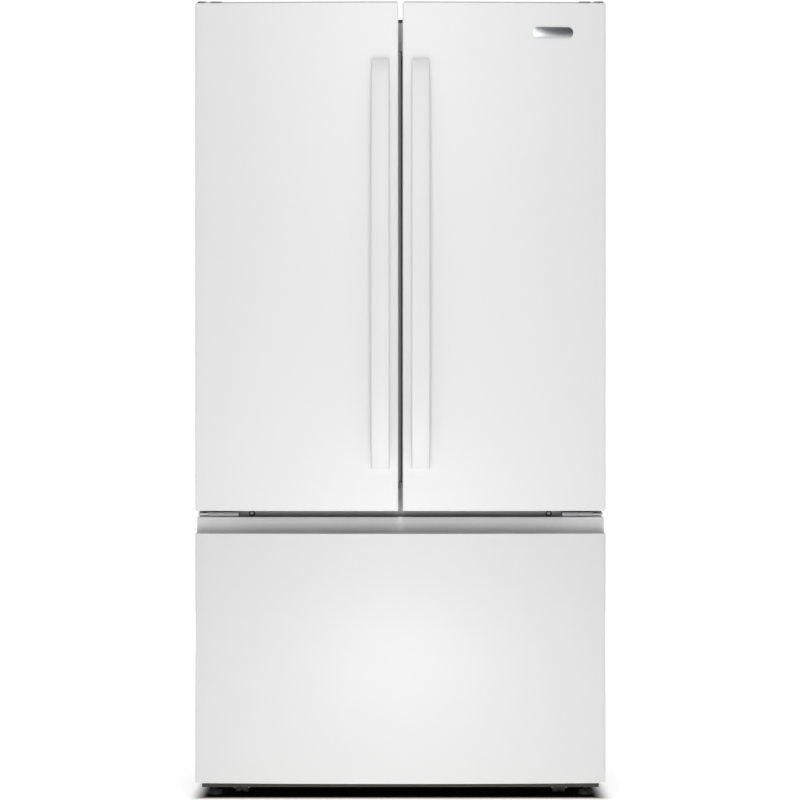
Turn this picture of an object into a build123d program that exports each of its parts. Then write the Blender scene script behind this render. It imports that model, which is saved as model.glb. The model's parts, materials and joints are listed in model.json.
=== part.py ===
from build123d import *
from math import sqrt
import os

# French door refrigerator: two hinged upper doors over one freezer drawer.
# Millimetres. +Z up, the doors face -Y, and X = 0 is the plane between the doors.
# Z = 0 is the floor, and Y = 0 lies halfway between the handles and the back.

# ---- Driving sizes: the case ----
door_span = 908.0            # across both closed doors
door_overhang = 3.0          # how far a door stands out past the case side
case_depth = 752.0
wall = 50.0                  # steel, foam and liner together
fresh_height = 1000.0        # inside height of the fresh food compartment
freezer_height = 480.0       # inside height of the freezer compartment
divider = 100.0              # floor of one compartment to the ceiling of the other
freezer_floor = 110.0
skirt_bottom = 45.0          # lower edge of the steel case
sheet = 1.0                  # painted steel
liner = 2.0                  # moulded plastic liner
back_wall = 60.0
machine_depth = 249.0        # machine compartment, front to back
machine_height = 300.0       # its roof over the floor
riser_foam = 45.0            # foam between the machine compartment and the freezer

# ---- Driving sizes: doors and drawer front ----
seal_gap = 14.0              # between the case front and the backs of the doors
corner_depth = 58.0          # thickness of a door at its outer corner
bow_rise = 14.0              # how far the front bows out at the middle
door_gap = 9.5
level_gap = 15.0             # between the doors and the drawer
split_drop = 5.0             # how far that gap lies under the middle of the divider
door_over_case = 28.0        # how far the doors stand over the case
drawer_bottom = 40.0
lip_drop = 34.5              # from the top of the drawer to its front lip
cap = 4.0                    # end cap thickness
scoop_lip = 7.0              # wall between the drawer's face and its finger scoop
scoop_land = 20.0            # flat top behind the scoop
corner_radius = 6.0

# ---- Driving sizes: handles ----
handle_reach = 62.0          # front of the handle over the door's apex
handle_width = 40.0
handle_thickness = 14.0
handle_lift = 93.5           # door bottom to handle bottom
handle_drop = 126.0          # door top to handle top
handle_foot = 34.0
handle_tip = 16.0            # thickness of the handle at its very ends
handle_inset = 39.75         # door edge to handle centre

# ---- Driving sizes: hinges, seals and the mullion flap ----
pin_radius = 5.0
running_clearance = 0.05
hinge_inset = 13.0           # door side to hinge axis
hinge_setback = 32.0         # corner front to hinge axis
pin_depth = 23.0             # pin engaged in the door
hinge_plate = 4.0
cover_height = 41.0          # hinge cover over the case
seal_width = 20.0
seal_play = 0.3              # seal to the face that it closes on
seal_inset = 15.0            # case side to the seal's outer edge
flap_thickness = 22.0
flap_reach = 2.0             # how far the flap passes the plane between the doors
flap_axis = 32.0             # flap pivot, out from that plane
dyke_depth = 60.0            # how far the door's inner ribs stand in
dyke_width = 30.0
dyke_play = 6.0              # compartment side to the outer rib
dyke_inner = 50.0

# ---- Driving sizes: what is inside ----
bin_depth = 126.0
bin_wall = 2.5
bin_lifts = (30.0, 390.0, 710.0)    # floors over the compartment floor
bin_heights = (140.0, 120.0, 100.0)
shelf_lifts = (490.0, 740.0)        # glass over the compartment floor
shelf_glass = 5.0
crisper_height = 213.0
crisper_setback = 137.0      # case front to crisper front
crisper_length = 505.0
crisper_wall = 3.0
lid_lift = 240.0             # crisper lid over the compartment floor
lid_thickness = 6.0
ledge = 12.0
rail_lift = 90.0             # slides over the freezer floor
rail_height = 45.0
rail_length = 440.0
rail_web = 2.0
drawer_bin_play = 5.0        # drawer bin over the freezer floor
drawer_bin_height = 230.0
basket_lift = 17.0           # basket over the step in the freezer floor
basket_height = 112.0
basket_length = 520.0
tub_wall = 3.0

# ---- Driving sizes: machinery, frame and floor ----
evaporator_space = 69.0
fan_blades = 5
fan_radius = 52.0
cooling_fan_radius = 72.0
roller_radius = 22.0
roller_lift = 2.5            # front rollers clear the floor while the feet carry
front_roller_inset = 93.5    # case side to roller centre
rear_roller_inset = 71.0
foot_inset = 34.0            # case side to foot centre
foot_radius = 16.5
compressor_radius = 82.0

# ---- Worked out from the sizes above ----
overall_depth = case_depth + seal_gap + corner_depth + bow_rise + handle_reach
case_half = door_span / 2 - door_overhang
case_back = overall_depth / 2
case_front = case_back - case_depth
inner_half = case_half - wall
dyke_outer = inner_half - dyke_play
front_roller_centre = case_half - front_roller_inset
rear_roller_centre = case_half - rear_roller_inset
foot_centre = case_half - foot_inset
handle_centre = door_gap / 2 + handle_inset
liner_half = inner_half + liner
freezer_top = freezer_floor + freezer_height
fresh_floor = freezer_top + divider
fresh_top = fresh_floor + fresh_height
bin_floors = [fresh_floor + lift for lift in bin_lifts]
shelf_levels = [fresh_floor + lift for lift in shelf_lifts]
lid_level = fresh_floor + lid_lift
rail_level = freezer_floor + rail_lift
drawer_bin_floor = freezer_floor + drawer_bin_play
case_top = fresh_top + wall
frame_top = freezer_floor - liner - 46.0
inner_back = case_back - back_wall - sheet
machine_front = case_back - sheet - machine_depth
riser_front = machine_front - riser_foam
tread_top = machine_height + riser_foam
basket_floor = tread_top + basket_lift
door_half = door_span / 2
door_back = case_front - seal_gap
corner_front = door_back - corner_depth
apex_front = corner_front - bow_rise
bow_radius = (door_half**2 + bow_rise**2) / (2 * bow_rise)
bow_centre = apex_front + bow_radius
gap_centre = (freezer_top + fresh_floor) / 2 - split_drop
door_bottom = gap_centre + level_gap / 2
drawer_top = gap_centre - level_gap / 2
drawer_lip = drawer_top - lip_drop
door_top = case_top + door_over_case
hinge_x = door_half - hinge_inset
hinge_y = corner_front + hinge_setback
opening_back = door_back + dyke_depth
lid_front = case_front + 142.0
cover_front = inner_back - liner - evaporator_space


# ---- Small shape helpers ----
def block(x, y, z):
    """Box between three pairs of limits, each pair in either order."""
    middles = [(low + high) / 2 for low, high in (x, y, z)]
    sizes = [abs(high - low) for low, high in (x, y, z)]
    return Pos(*middles) * Box(*sizes)


def across(profile, half):
    """A (Y, Z) face drawn out to the same distance either side of X = 0."""
    return extrude(Plane.YZ * profile, half, both=True)


def rod(start, direction, radius, length):
    """Cylinder from a start point along a direction."""
    return extrude(Plane(origin=start, z_dir=direction) * Circle(radius), length)


def flipped(shape):
    """The same piece on the other side of the plane between the doors."""
    return mirror(shape, about=Plane.YZ)


def pair(shape):
    """A piece and its mirror image, as two solids."""
    return Compound([shape, flipped(shape)])


def group(shapes):
    """Identical or matching pieces kept together as separate solids."""
    return Compound([solid for shape in shapes for solid in shape.solids()])


def bow_y(x, inset=0.0):
    """Y of the bowed front at X, set back by an inset."""
    return bow_centre - sqrt((bow_radius - inset) ** 2 - x * x)


def bowed_slab(x, z, back, inset=0.0, radius=0.0):
    """Slab between two X and two Z limits, with the bowed front and a flat back."""
    (left, right), (low, high) = x, z
    middle = (left + right) / 2
    front = ThreePointArc(
        (left, bow_y(left, inset)), (middle, bow_y(middle, inset)), (right, bow_y(right, inset))
    )
    sides = Polyline((right, bow_y(right, inset)), (right, back), (left, back), (left, bow_y(left, inset)))
    outline = make_face([front, sides])
    if radius:
        corners = outline.vertices().sort_by(Axis.Y)[:2]
        outline = fillet(corners, radius)
    return extrude(Pos(0, 0, low) * outline, high - low)


def tub(x, y, z, thickness):
    """Open-topped bin with walls and floor of one thickness."""
    inside = block(
        (x[0] + thickness, x[1] - thickness),
        (y[0] + thickness, y[1] - thickness),
        (z[0] + thickness, z[1] + thickness),
    )
    return block(x, y, z) - inside


# ---- The case ----
def make_case_wrapper():
    """One-piece steel wrapper: both sides and the top, with flanges round the front."""
    side = block((case_half - sheet, case_half), (case_front, case_back), (skirt_bottom, case_top))
    top = block((-case_half, case_half), (case_front, case_back), (case_top - sheet, case_top))
    side_flange = block((liner_half, case_half), (case_front, case_front + sheet), (skirt_bottom, case_top))
    top_flange = block(
        (-liner_half, liner_half), (case_front, case_front + sheet), (fresh_top + liner, case_top)
    )
    return top + side + flipped(side) + side_flange + flipped(side_flange) + top_flange


def make_back_panel():
    """Flat steel back, from the machine compartment up."""
    return block(
        (-case_half + sheet, case_half - sheet),
        (case_back - sheet, case_back),
        (machine_height, case_top - sheet),
    )


def make_machine_cover():
    """Slotted cover over the machine compartment."""
    cover = block(
        (-case_half + sheet, case_half - sheet),
        (case_back - sheet, case_back),
        (skirt_bottom, machine_height - 1.0),
    )
    slot = (36.0, 7.0)
    rows = 7
    pitch_x, pitch_z = 52.0, 16.0
    columns = int((2 * case_half - 120) // pitch_x) - 1
    slots = [
        Pos(
            (column - (columns - 1) / 2) * pitch_x,
            case_back - sheet / 2,
            machine_height - 60.0 - row * pitch_z,
        )
        * Box(slot[0], 4 * sheet, slot[1])
        for column in range(columns)
        for row in range(rows)
    ]
    inlet_hole = block(*power_inlet_limits(clearance=0.5))
    return cover - slots - inlet_hole


def power_inlet_limits(clearance=0.0):
    """Limits of the mains inlet block in the machine cover."""
    centre_x, centre_z = 76.0 - case_half, 92.0
    half_width, half_height, depth = 18.0, 14.0, 24.0
    return (
        (centre_x - half_width - clearance, centre_x + half_width + clearance),
        (case_back - depth, case_back),
        (centre_z - half_height - clearance, centre_z + half_height + clearance),
    )


def make_power_inlet():
    """Mains inlet with three pin sockets."""
    x, y, z = power_inlet_limits()
    centre_x, centre_z = sum(x) / 2, sum(z) / 2
    recess = block((x[0] + 4, x[1] - 4), (case_back - 16, case_back), (z[0] + 4, z[1] - 4))
    contacts = [
        block(
            (centre_x + dx - 1, centre_x + dx + 1),
            (case_back - 17, case_back - 5),
            (centre_z - 2, centre_z + 2),
        )
        for dx in (-7.0, 0.0, 7.0)
    ]
    return block(x, y, z) - recess + contacts


def make_side_foam():
    """Foam in both side walls."""
    return pair(
        block(
            (liner_half, case_half - sheet),
            (case_front + sheet, case_back - sheet),
            (frame_top, case_top - sheet),
        )
    )


def make_back_foam():
    """Foam behind the two compartments."""
    return block((-liner_half, liner_half), (inner_back, case_back - sheet), (tread_top, case_top - sheet))


def make_level_foam():
    """Foam over, between and under the compartments, and round the machine compartment."""
    x = (-liner_half, liner_half)
    front = case_front + sheet
    ceiling = block(x, (front, inner_back), (fresh_top + liner, case_top - sheet))
    middle = block(x, (front, inner_back), (freezer_top + liner, fresh_floor - liner))
    floor = block(x, (front, riser_front), (frame_top, freezer_floor - liner))
    riser = block(x, (riser_front, machine_front), (frame_top, tread_top))
    tread = block(x, (machine_front, case_back - sheet), (machine_height, tread_top))
    return group([ceiling, middle, floor, riser, tread])


def make_fresh_food_liner():
    """Upper compartment's liner, with a ledge each side for the crisper lid."""
    outside = block(
        (-liner_half, liner_half), (case_front, inner_back), (fresh_floor - liner, fresh_top + liner)
    )
    inside = block(
        (-inner_half, inner_half), (case_front - 1, inner_back - liner), (fresh_floor, fresh_top)
    )
    rest = block(
        (inner_half - ledge, inner_half), (lid_front, inner_back - liner), (lid_level - ledge, lid_level)
    )
    return outside - inside + rest + flipped(rest)


def make_freezer_liner():
    """Lower compartment's liner: stepped over the machinery, with basket ledges."""
    back, step = inner_back, riser_front
    outline = Polyline(
        (case_front, freezer_floor - liner),
        (step, freezer_floor - liner),
        (step, tread_top),
        (back, tread_top),
        (back, freezer_top + liner),
        (case_front, freezer_top + liner),
        close=True,
    )
    inline = Polyline(
        (case_front - 1, freezer_floor),
        (step - liner, freezer_floor),
        (step - liner, tread_top + liner),
        (back - liner, tread_top + liner),
        (back - liner, freezer_top),
        (case_front - 1, freezer_top),
        close=True,
    )
    rim_level = basket_floor + basket_height - 4.0
    rest = block(
        (inner_half - ledge - 3.0, inner_half),
        (case_front + 20, cover_front - 12),
        (rim_level - 9, rim_level - 1),
    )
    shell = across(make_face(outline), liner_half) - across(make_face(inline), inner_half)
    return shell + rest + flipped(rest)


def make_centre_rail():
    """Steel rail across the front of the divider, which carries the centre hinges."""
    return block(
        (-liner_half, liner_half),
        (case_front, case_front + sheet),
        (freezer_top + liner, fresh_floor - liner),
    )


# ---- Base ----
def roller_cheeks(centre, axle_y, axle_z, width):
    """Two bracket cheeks and the axle pin that they hold, on the +X side."""
    thickness, half_length = 2.0, 24.0
    inner = centre - width / 2 - 1.0
    outer = centre + width / 2 + 1.0
    cheeks = [
        block(
            (x, x + thickness), (axle_y - half_length, axle_y + half_length), (axle_z - 10, frame_top - 2)
        )
        for x in (inner - thickness, outer)
    ]
    axle = rod((inner - thickness, axle_y, axle_z), (1, 0, 0), 4.0, outer - inner + 2 * thickness)
    return axle + cheeks


front_roller_y = case_front + 60.0
rear_roller_y = case_back - 45.0
front_axle_z = roller_radius + roller_lift
roller_width = 28.0


def make_base_frame():
    """Pressed base: side rails, front rail, machinery tray and roller brackets."""
    top = (frame_top - 2.0, frame_top)
    rail_outer, rail_inner = case_half - sheet, inner_half - 6
    web = block((rail_inner, rail_outer), (case_front + sheet, case_back - sheet), top)
    lips = [
        block((x, x + 2), (case_front + sheet, case_back - sheet), (skirt_bottom + 1, frame_top - 2))
        for x in (rail_inner, rail_outer - 2)
    ]
    rollers = [
        roller_cheeks(front_roller_centre, front_roller_y, front_axle_z, roller_width),
        roller_cheeks(rear_roller_centre, rear_roller_y, roller_radius, roller_width),
    ]
    side = web + lips + rollers
    front_sheet = block(
        (-rail_inner, rail_inner), (case_front + sheet, case_front + 62 + 2 * roller_radius), top
    )
    front_rail = block(
        (-liner_half, liner_half),
        (case_front, case_front + sheet),
        (skirt_bottom - 20, freezer_floor - liner),
    )
    tray = block((-rail_inner, rail_inner), (machine_front, case_back - sheet), top)
    return front_rail + front_sheet + tray + side + flipped(side)


def make_toe_grille():
    """Slotted strip under the drawer."""
    strip = block((-case_half + 7, case_half - 7), (case_front - 4, case_front), (22.0, skirt_bottom - 1))
    slots = [Pos(x, case_front - 2, 33.0) * Box(22, 12, 7) for x in range(-400, 401, 40)]
    return strip - slots


def make_levelling_feet():
    """Two screw feet that carry the front."""
    y = case_front + 40.0
    pad = rod((foot_centre, y, 0), (0, 0, 1), foot_radius, 10.0)
    stem = rod((foot_centre, y, 10), (0, 0, 1), 5.0, frame_top - 12.0)
    return pair(pad + stem)


def make_rollers(centre, axle_y, axle_z):
    """Pair of grooved rollers on one axis."""
    x = centre - roller_width / 2
    wheel = rod((x, axle_y, axle_z), (1, 0, 0), roller_radius, roller_width)
    groove = rod((centre - 3, axle_y, axle_z), (1, 0, 0), roller_radius, 6.0)
    groove -= rod((centre - 3, axle_y, axle_z), (1, 0, 0), roller_radius - 2.0, 6.0)
    bore = rod((x, axle_y, axle_z), (1, 0, 0), 4.0 + running_clearance, roller_width)
    return pair(wheel - groove - bore)


# ---- Hinges ----
top_arm = case_top + door_over_case + 2.0
cover_top = case_top + cover_height
cover_wall = 1.6
arm_plate = 3.0
arm_x = (hinge_x - 20.0, hinge_x + 8.0)
arm_play = 0.3                # hinge arm to the notch in its cover


def make_top_hinges():
    """Plates on the case that carry the upper door pins."""
    foot_x = (hinge_x - 37, arm_x[1])
    foot = block(foot_x, (case_front + 6, case_front + 96), (case_top, case_top + arm_plate))
    riser = block(arm_x, (case_front + 6, case_front + 10), (case_top, top_arm + arm_plate))
    arm = block(arm_x, (hinge_y - 14, case_front + 10), (top_arm, top_arm + arm_plate))
    pin_foot = door_top - pin_depth
    pin = rod((hinge_x, hinge_y, pin_foot), (0, 0, 1), pin_radius, top_arm - pin_foot)
    return pair(foot + riser + arm + pin)


def make_hinge_covers():
    """Plastic covers over the top hinges, low over the arms and higher over the case."""
    outer, inner = hinge_x + 10, hinge_x - 42
    front, back = hinge_y + 2, case_front + 106
    arm_cover = top_arm + arm_plate + cover_wall
    profile = [
        (case_front + 2, case_top),
        (case_front + 2, door_top + 1.5),
        (front, door_top + 1.5),
        (front, arm_cover),
        (case_front + 16, cover_top),
        (back - 22, cover_top),
        (back, cover_top - 16),
        (back, case_top),
    ]
    hollow = [
        (case_front + 2 + cover_wall, case_top),
        (case_front + 2 + cover_wall, door_top + 1.5),
        (front + cover_wall, door_top + 1.5),
        (front + cover_wall, arm_cover - 0.8 * cover_wall),
        (case_front + 16, cover_top - cover_wall),
        (back - 22, cover_top - cover_wall),
        (back - cover_wall, cover_top - 16),
        (back - cover_wall, case_top),
    ]
    middle, half = (outer + inner) / 2, (outer - inner) / 2
    shell = across(make_face(Polyline(*profile, close=True)), half)
    shell -= across(make_face(Polyline(*hollow, close=True)), half - cover_wall)
    notch = block(
        (arm_x[0] - arm_play, arm_x[1] + arm_play),
        (front - 1, front + cover_wall + 1),
        (door_top, top_arm + arm_plate + arm_play),
    )
    return pair(Pos(middle, 0, 0) * shell - notch)


def make_centre_hinges():
    """Plates between the doors and the drawer that carry the lower door pins."""
    low = gap_centre - hinge_plate / 2
    plate = block((hinge_x - 82, hinge_x + 8), (hinge_y - 14, case_front - 3), (low, low + hinge_plate))
    flange = block(
        (hinge_x - 82, hinge_x - 2), (case_front - 3, case_front), (gap_centre - 13, gap_centre + 13)
    )
    pin = rod((hinge_x, hinge_y, low), (0, 0, 1), pin_radius, door_bottom - low + pin_depth)
    return pair(plate + flange + pin)


def make_hinge_screws():
    """Identical screws of the top and centre hinges, and one beside each centre hinge."""
    head = 5.0
    rail_screws = [
        rod((hinge_x - dx, case_front - 3, gap_centre - 7.5), (0, -1, 0), head, 2.6) for dx in (20.0, 64.0)
    ]
    rail_screws.append(rod((hinge_x - 109, case_front, gap_centre - 1), (0, -1, 0), head, 2.6))
    top_screws = [
        rod((hinge_x - dx, case_front + dy, case_top + 3), (0, 0, 1), head, 2.6)
        for dx in (0.0, 28.0)
        for dy in (40.0, 78.0)
    ]
    screws = rail_screws + top_screws
    return group(screws + [flipped(screw) for screw in screws])


# ---- Doors (made on the right, mirrored for the left) ----
door_x = (door_gap / 2, door_half)
core_x = (door_gap / 2 + sheet, door_half - sheet)
core_z = (door_bottom + cap, door_top - cap)


def door_pin_hole(z, depth):
    """Bore for a hinge pin, running clearance included."""
    return rod((hinge_x, hinge_y, z), (0, 0, 1), pin_radius + running_clearance, depth)


def make_door_panel():
    """Steel skin: the bowed front and both sides of one door."""
    outside = bowed_slab(door_x, (door_bottom, door_top), door_back, radius=corner_radius)
    inside = bowed_slab(
        core_x, (door_bottom - 1, door_top + 1), door_back + 1, inset=sheet, radius=corner_radius - sheet
    )
    return outside - inside


def make_door_core():
    """Foam that fills the door."""
    core = bowed_slab(core_x, core_z, door_back - liner, inset=sheet, radius=corner_radius - sheet)
    depth = pin_depth - cap + 1.0
    return core - door_pin_hole(core_z[1] - depth, depth) - door_pin_hole(core_z[0], depth)


def make_end_caps():
    """Plastic caps that close the top and bottom of one door."""
    caps = [
        bowed_slab(core_x, z, door_back, inset=sheet, radius=corner_radius - sheet)
        for z in ((door_bottom, core_z[0]), (core_z[1], door_top))
    ]
    return group([one - door_pin_hole(door_bottom, door_top - door_bottom) for one in caps])


flap_bottom = fresh_floor + 16.0
flap_top = fresh_top - 23.0
flap_y = case_front + flap_thickness / 2
flap_pin = 3.0


def make_door_liner():
    """Inner plate of one door with its two upright ribs."""
    plate = block(core_x, (door_back - liner, door_back), core_z)
    dykes = [
        block((x, x + dyke_width), (door_back, opening_back), (flap_bottom - 7, flap_top + 8))
        for x in (dyke_inner, dyke_outer - dyke_width)
    ]
    return plate + dykes


def make_left_door_liner():
    """Left liner, with the two lugs that hold the mullion flap's pins."""
    liner_plate = flipped(make_door_liner())
    bore = rod((-flap_axis, flap_y, 0), (0, 0, 1), flap_pin + running_clearance, door_top)
    lugs = [
        block((-dyke_inner, -flap_axis + 8), (flap_y - 8, flap_y + 8), z) - bore
        for z in ((flap_bottom - 7, flap_bottom - 1), (flap_top + 1, flap_top + 7))
    ]
    return liner_plate + lugs


def make_mullion_flap():
    """Upright flap that closes the gap between the doors, round at its pivot edge."""
    half = flap_thickness / 2
    bevel = 6.0
    axis = (-flap_axis, flap_y)
    outline = make_face(
        [
            ThreePointArc(
                (axis[0], axis[1] - half), (axis[0] - half, axis[1]), (axis[0], axis[1] + half)
            ),
            Polyline(
                (axis[0], axis[1] + half),
                (flap_reach - bevel, axis[1] + half),
                (flap_reach, axis[1] - half + bevel),
                (flap_reach, axis[1] - half),
                (axis[0], axis[1] - half),
            ),
        ]
    )
    body = extrude(Pos(0, 0, flap_bottom) * outline, flap_top - flap_bottom)
    pins = rod((*axis, flap_bottom - 7), (0, 0, 1), flap_pin, flap_top - flap_bottom + 14)
    return body + pins


def seal_ring(x, z):
    """Rectangular seal between its outer limits, on the case front."""
    y = (door_back, case_front - seal_play)
    outer = block(x, y, z)
    inner = block((x[0] + seal_width, x[1] - seal_width), y, (z[0] + seal_width, z[1] - seal_width))
    return outer - inner


seal_side = case_half - seal_inset


def make_door_gasket():
    """Magnetic seal of one door."""
    return seal_ring(
        (door_gap / 2 + 3.25, seal_side), (fresh_floor - liner - 34, fresh_top + liner + 30)
    )


def make_handle():
    """Bowed bar handle that meets the door at both ends."""
    high = door_top - handle_drop
    low = door_bottom + handle_lift
    middle = (high + low) / 2
    face = apex_front
    front = apex_front - handle_reach
    profile = make_face(
        [
            ThreePointArc((face - handle_tip, low), (front, middle), (face - handle_tip, high)),
            Polyline((face - handle_tip, high), (face, high), (face, high - handle_foot)),
            ThreePointArc(
                (face, high - handle_foot), (front + handle_thickness, middle), (face, low + handle_foot)
            ),
            Polyline((face, low + handle_foot), (face, low), (face - handle_tip, low)),
        ]
    )
    return Pos(handle_centre, 0, 0) * across(profile, handle_width / 2)


def make_door_bins():
    """Three open bins hung between the door's ribs."""
    x = (dyke_inner + dyke_width, dyke_outer - dyke_width)
    y = (door_back, door_back + bin_depth)
    return group(
        [tub(x, y, (low, low + high), bin_wall) for low, high in zip(bin_floors, bin_heights)]
    )


# ---- Drawer ----
drawer_x = (-door_half, door_half)
drawer_core_x = (-door_half + sheet, door_half - sheet)
scoop_bottom = drawer_lip - 33.0


def inner_slab(z, back):
    """Bowed slab that fits inside the drawer's steel skin."""
    return bowed_slab(drawer_core_x, z, back, inset=sheet, radius=corner_radius - sheet)


def make_drawer_panel():
    """Steel skin of the drawer, up to its front lip."""
    outside = bowed_slab(drawer_x, (drawer_bottom, drawer_lip), door_back, radius=corner_radius)
    return outside - inner_slab((drawer_bottom + sheet, drawer_lip + 1), door_back + 1)


def make_drawer_core():
    """Foam and inner plate of the drawer front."""
    return inner_slab((drawer_bottom + sheet, scoop_bottom), door_back)


def make_pocket_pull():
    """Moulded top of the drawer, with the full-width finger scoop behind the lip."""
    blank = inner_slab((scoop_bottom, drawer_top), door_back)
    lip_y = apex_front + scoop_lip
    land_y = door_back - scoop_land
    middle_y, middle_z = (lip_y + land_y) / 2, (drawer_lip + drawer_top) / 2
    radius = sqrt((land_y - lip_y) ** 2 + (drawer_top - drawer_lip) ** 2) / 2
    lowest = (middle_y + radius * 0.25, middle_z - radius * sqrt(1 - 0.25**2))
    profile = make_face(
        [
            ThreePointArc((lip_y, drawer_lip), lowest, (land_y, drawer_top)),
            Polyline(
                (land_y, drawer_top),
                (land_y, drawer_top + 20),
                (apex_front - 20, drawer_top + 20),
                (apex_front - 20, drawer_lip),
                (lip_y, drawer_lip),
            ),
        ]
    )
    sweep = 9.0
    axis = Axis((0, bow_centre, 0), (0, 0, 1))
    cutter = revolve(Plane.YZ * profile, axis=axis, revolution_arc=sweep)
    return blank - cutter.rotate(axis, -sweep / 2)


def make_drawer_gasket():
    """Magnetic seal of the drawer."""
    return seal_ring((-seal_side, seal_side), (freezer_floor - liner - 42, freezer_top + liner + 26))


# ---- Drawer slides ----
rail_back = case_front + 6 + rail_length


def channel(x, z, front):
    """C-shaped rail, open towards the middle of the case, on the +X side."""
    outer = block(x, (front, rail_back), z)
    hollow = block((x[0], x[1] - rail_web), (front, rail_back), (z[0] + rail_web, z[1] - rail_web))
    return outer - hollow


def make_rail_channels():
    """Fixed outer members of the two slides."""
    x = (inner_half - 13, inner_half)
    return pair(channel(x, (rail_level, rail_level + rail_height), case_front + 6))


def make_rail_middles():
    """Members that travel half as far as the drawer."""
    x = (inner_half - 13, inner_half - rail_web - 2)
    inset = rail_web + 1
    return pair(channel(x, (rail_level + inset, rail_level + rail_height - inset), case_front + 6))


def make_rail_sliders():
    """Inner members fixed to the drawer front, each with the arm that carries the bin."""
    inset = 2 * (rail_web + 1)
    z = (rail_level + inset, rail_level + rail_height - inset)
    bar = block((inner_half - 11, inner_half - 7), (door_back, rail_back), z)
    arm = block((inner_half - 19, inner_half - 15), (door_back, rail_back - 20), (rail_level - 6, z[1]))
    bridge = block((inner_half - 15, inner_half - 11), (door_back, rail_back - 20), (z[0] + 12, z[1] - 12))
    return pair(bar + arm + bridge)


def make_drawer_bin():
    """Deep bin that rides on the slides."""
    half = inner_half - 19
    return tub(
        (-half, half),
        (door_back + 22, riser_front - liner - 8),
        (drawer_bin_floor, drawer_bin_floor + drawer_bin_height),
        tub_wall,
    )


def make_freezer_basket():
    """Shallow upper basket, hung by its rim on the liner's ledges."""
    half = inner_half - ledge - 6
    y = (case_front + 14, case_front + 14 + basket_length)
    top = basket_floor + basket_height
    body = tub((-half, half), y, (basket_floor, top), tub_wall)
    rim = block((half - 1, inner_half - 4), y, (top - 4, top))
    return body + rim + flipped(rim)


# ---- Fresh food fittings ----
track_inner, track_outer = 30.0, inner_half - 31.0
track_depth = 8.0
arm_height = 30.0


def make_shelf_tracks():
    """Four upright tracks on the back wall."""
    back = inner_back - liner
    low, high = shelf_levels[0] - 180, shelf_levels[-1] + 170
    tracks = []
    for x in (track_inner, track_outer):
        track = block((x - 8, x + 8), (back - track_depth, back), (low, high))
        slots = [
            Pos(x, back - track_depth, z) * Box(4, 6, 14) for z in range(int(low) + 20, int(high) - 10, 25)
        ]
        tracks.append(track - slots)
    return group(tracks + [flipped(track) for track in tracks])


def make_shelf_brackets():
    """Steel arms under the glass, two to a shelf."""
    back = inner_back - liner - track_depth
    front = case_front + 190.0
    arms = []
    for level in shelf_levels:
        top = level - shelf_glass
        outline = make_face(
            Polyline((back, top), (back, top - arm_height), (front, top - 12), (front, top), close=True)
        )
        arm = across(outline, 2.0)
        arms += [Pos(x, 0, 0) * arm for x in (-track_outer, -track_inner, track_inner, track_outer)]
    return group(arms)


def make_glass_shelves():
    """Four half-width glass shelves."""
    x = (8.0, inner_half - 9)
    y = (case_front + 152.0, inner_back - liner - track_depth - 6)
    panes = [block(x, y, (level - shelf_glass, level)) for level in shelf_levels]
    return group(panes + [flipped(pane) for pane in panes])


def make_crisper_lid():
    """Glass cover over the crispers, resting on the liner's ledges."""
    half = inner_half - 2
    return block((-half, half), (lid_front, inner_back - liner - 4), (lid_level, lid_level + lid_thickness))


def make_crisper():
    """Clear crisper drawer on the right, with a grip along its front."""
    x = (4.0, inner_half - 5)
    front = case_front + crisper_setback
    z = (fresh_floor + 2, fresh_floor + 2 + crisper_height)
    drawer = tub(x, (front, front + crisper_length), z, crisper_wall)
    grip = block((x[0] + 60, x[1] - 60), (front - 14, front), (z[1] - 24, z[1] - 20))
    return drawer + grip


panel_front = case_front + 67.0
button_z = fresh_top - 13.0
button_x = 30.0
button_half = (9.0, 5.0)
button_travel = 1.2


def make_control_panel():
    """Housing at the ceiling with two button wells and a lamp recess."""
    housing = block((-95, 95), (panel_front, panel_front + 170), (fresh_top - 26, fresh_top))
    play = 0.3
    wells = [
        block(
            (x - button_half[0] - play, x + button_half[0] + play),
            (panel_front, panel_front + 8 + button_travel),
            (button_z - button_half[1] - play, button_z + button_half[1] + play),
        )
        for x in (-button_x, button_x)
    ]
    recess = block((-70, 70), (panel_front + 40, panel_front + 140), (fresh_top - 26, fresh_top - 16))
    return housing - wells - recess


def make_button(x):
    """One push button, flush with its well but for its raised face."""
    return block(
        (x - button_half[0], x + button_half[0]),
        (panel_front - 2, panel_front + 7.5),
        (button_z - button_half[1], button_z + button_half[1]),
    )


# ---- Machinery ----
evaporator_fan_z = freezer_top - 70.0
fan_bore = 3.0 + running_clearance
cooling_fan = (-40.0, machine_front + 125.0, 178.0)


def fan(radius, depth):
    """Hub and pitched blades about the Z axis, from Z = 0 up."""
    hub_radius = 16.0
    hub = extrude(Circle(hub_radius), depth)
    blade = Rot(28, 0, 0) * Box(radius - hub_radius, 26, 1.6)
    blade = Pos((radius + hub_radius) / 2 - 1, 0, depth / 2) * blade
    blades = [Rot(0, 0, 360 / fan_blades * number) * blade for number in range(fan_blades)]
    return hub + blades - extrude(Circle(fan_bore), depth)


def on_axis(shape, origin, direction):
    """A piece made about Z, moved so that Z runs along a direction from an origin."""
    return Plane(origin=origin, z_dir=direction).location * shape


def motor(length):
    """Round motor below Z = 0 with its shaft standing up through Z = 0."""
    can = extrude(Circle(20), -length)
    return can + extrude(Pos(0, 0, -2) * Circle(3.0), 20)


evaporator_fan_at = (0.0, cover_front + 12.0, evaporator_fan_z)


def make_evaporator_fan():
    """Fan that blows cold air forward."""
    return on_axis(fan(fan_radius, 18), evaporator_fan_at, (0, 1, 0))


def make_condenser_fan():
    """Fan that draws air over the condenser."""
    return on_axis(fan(cooling_fan_radius, 22), cooling_fan, (-1, 0, 0))


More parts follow.
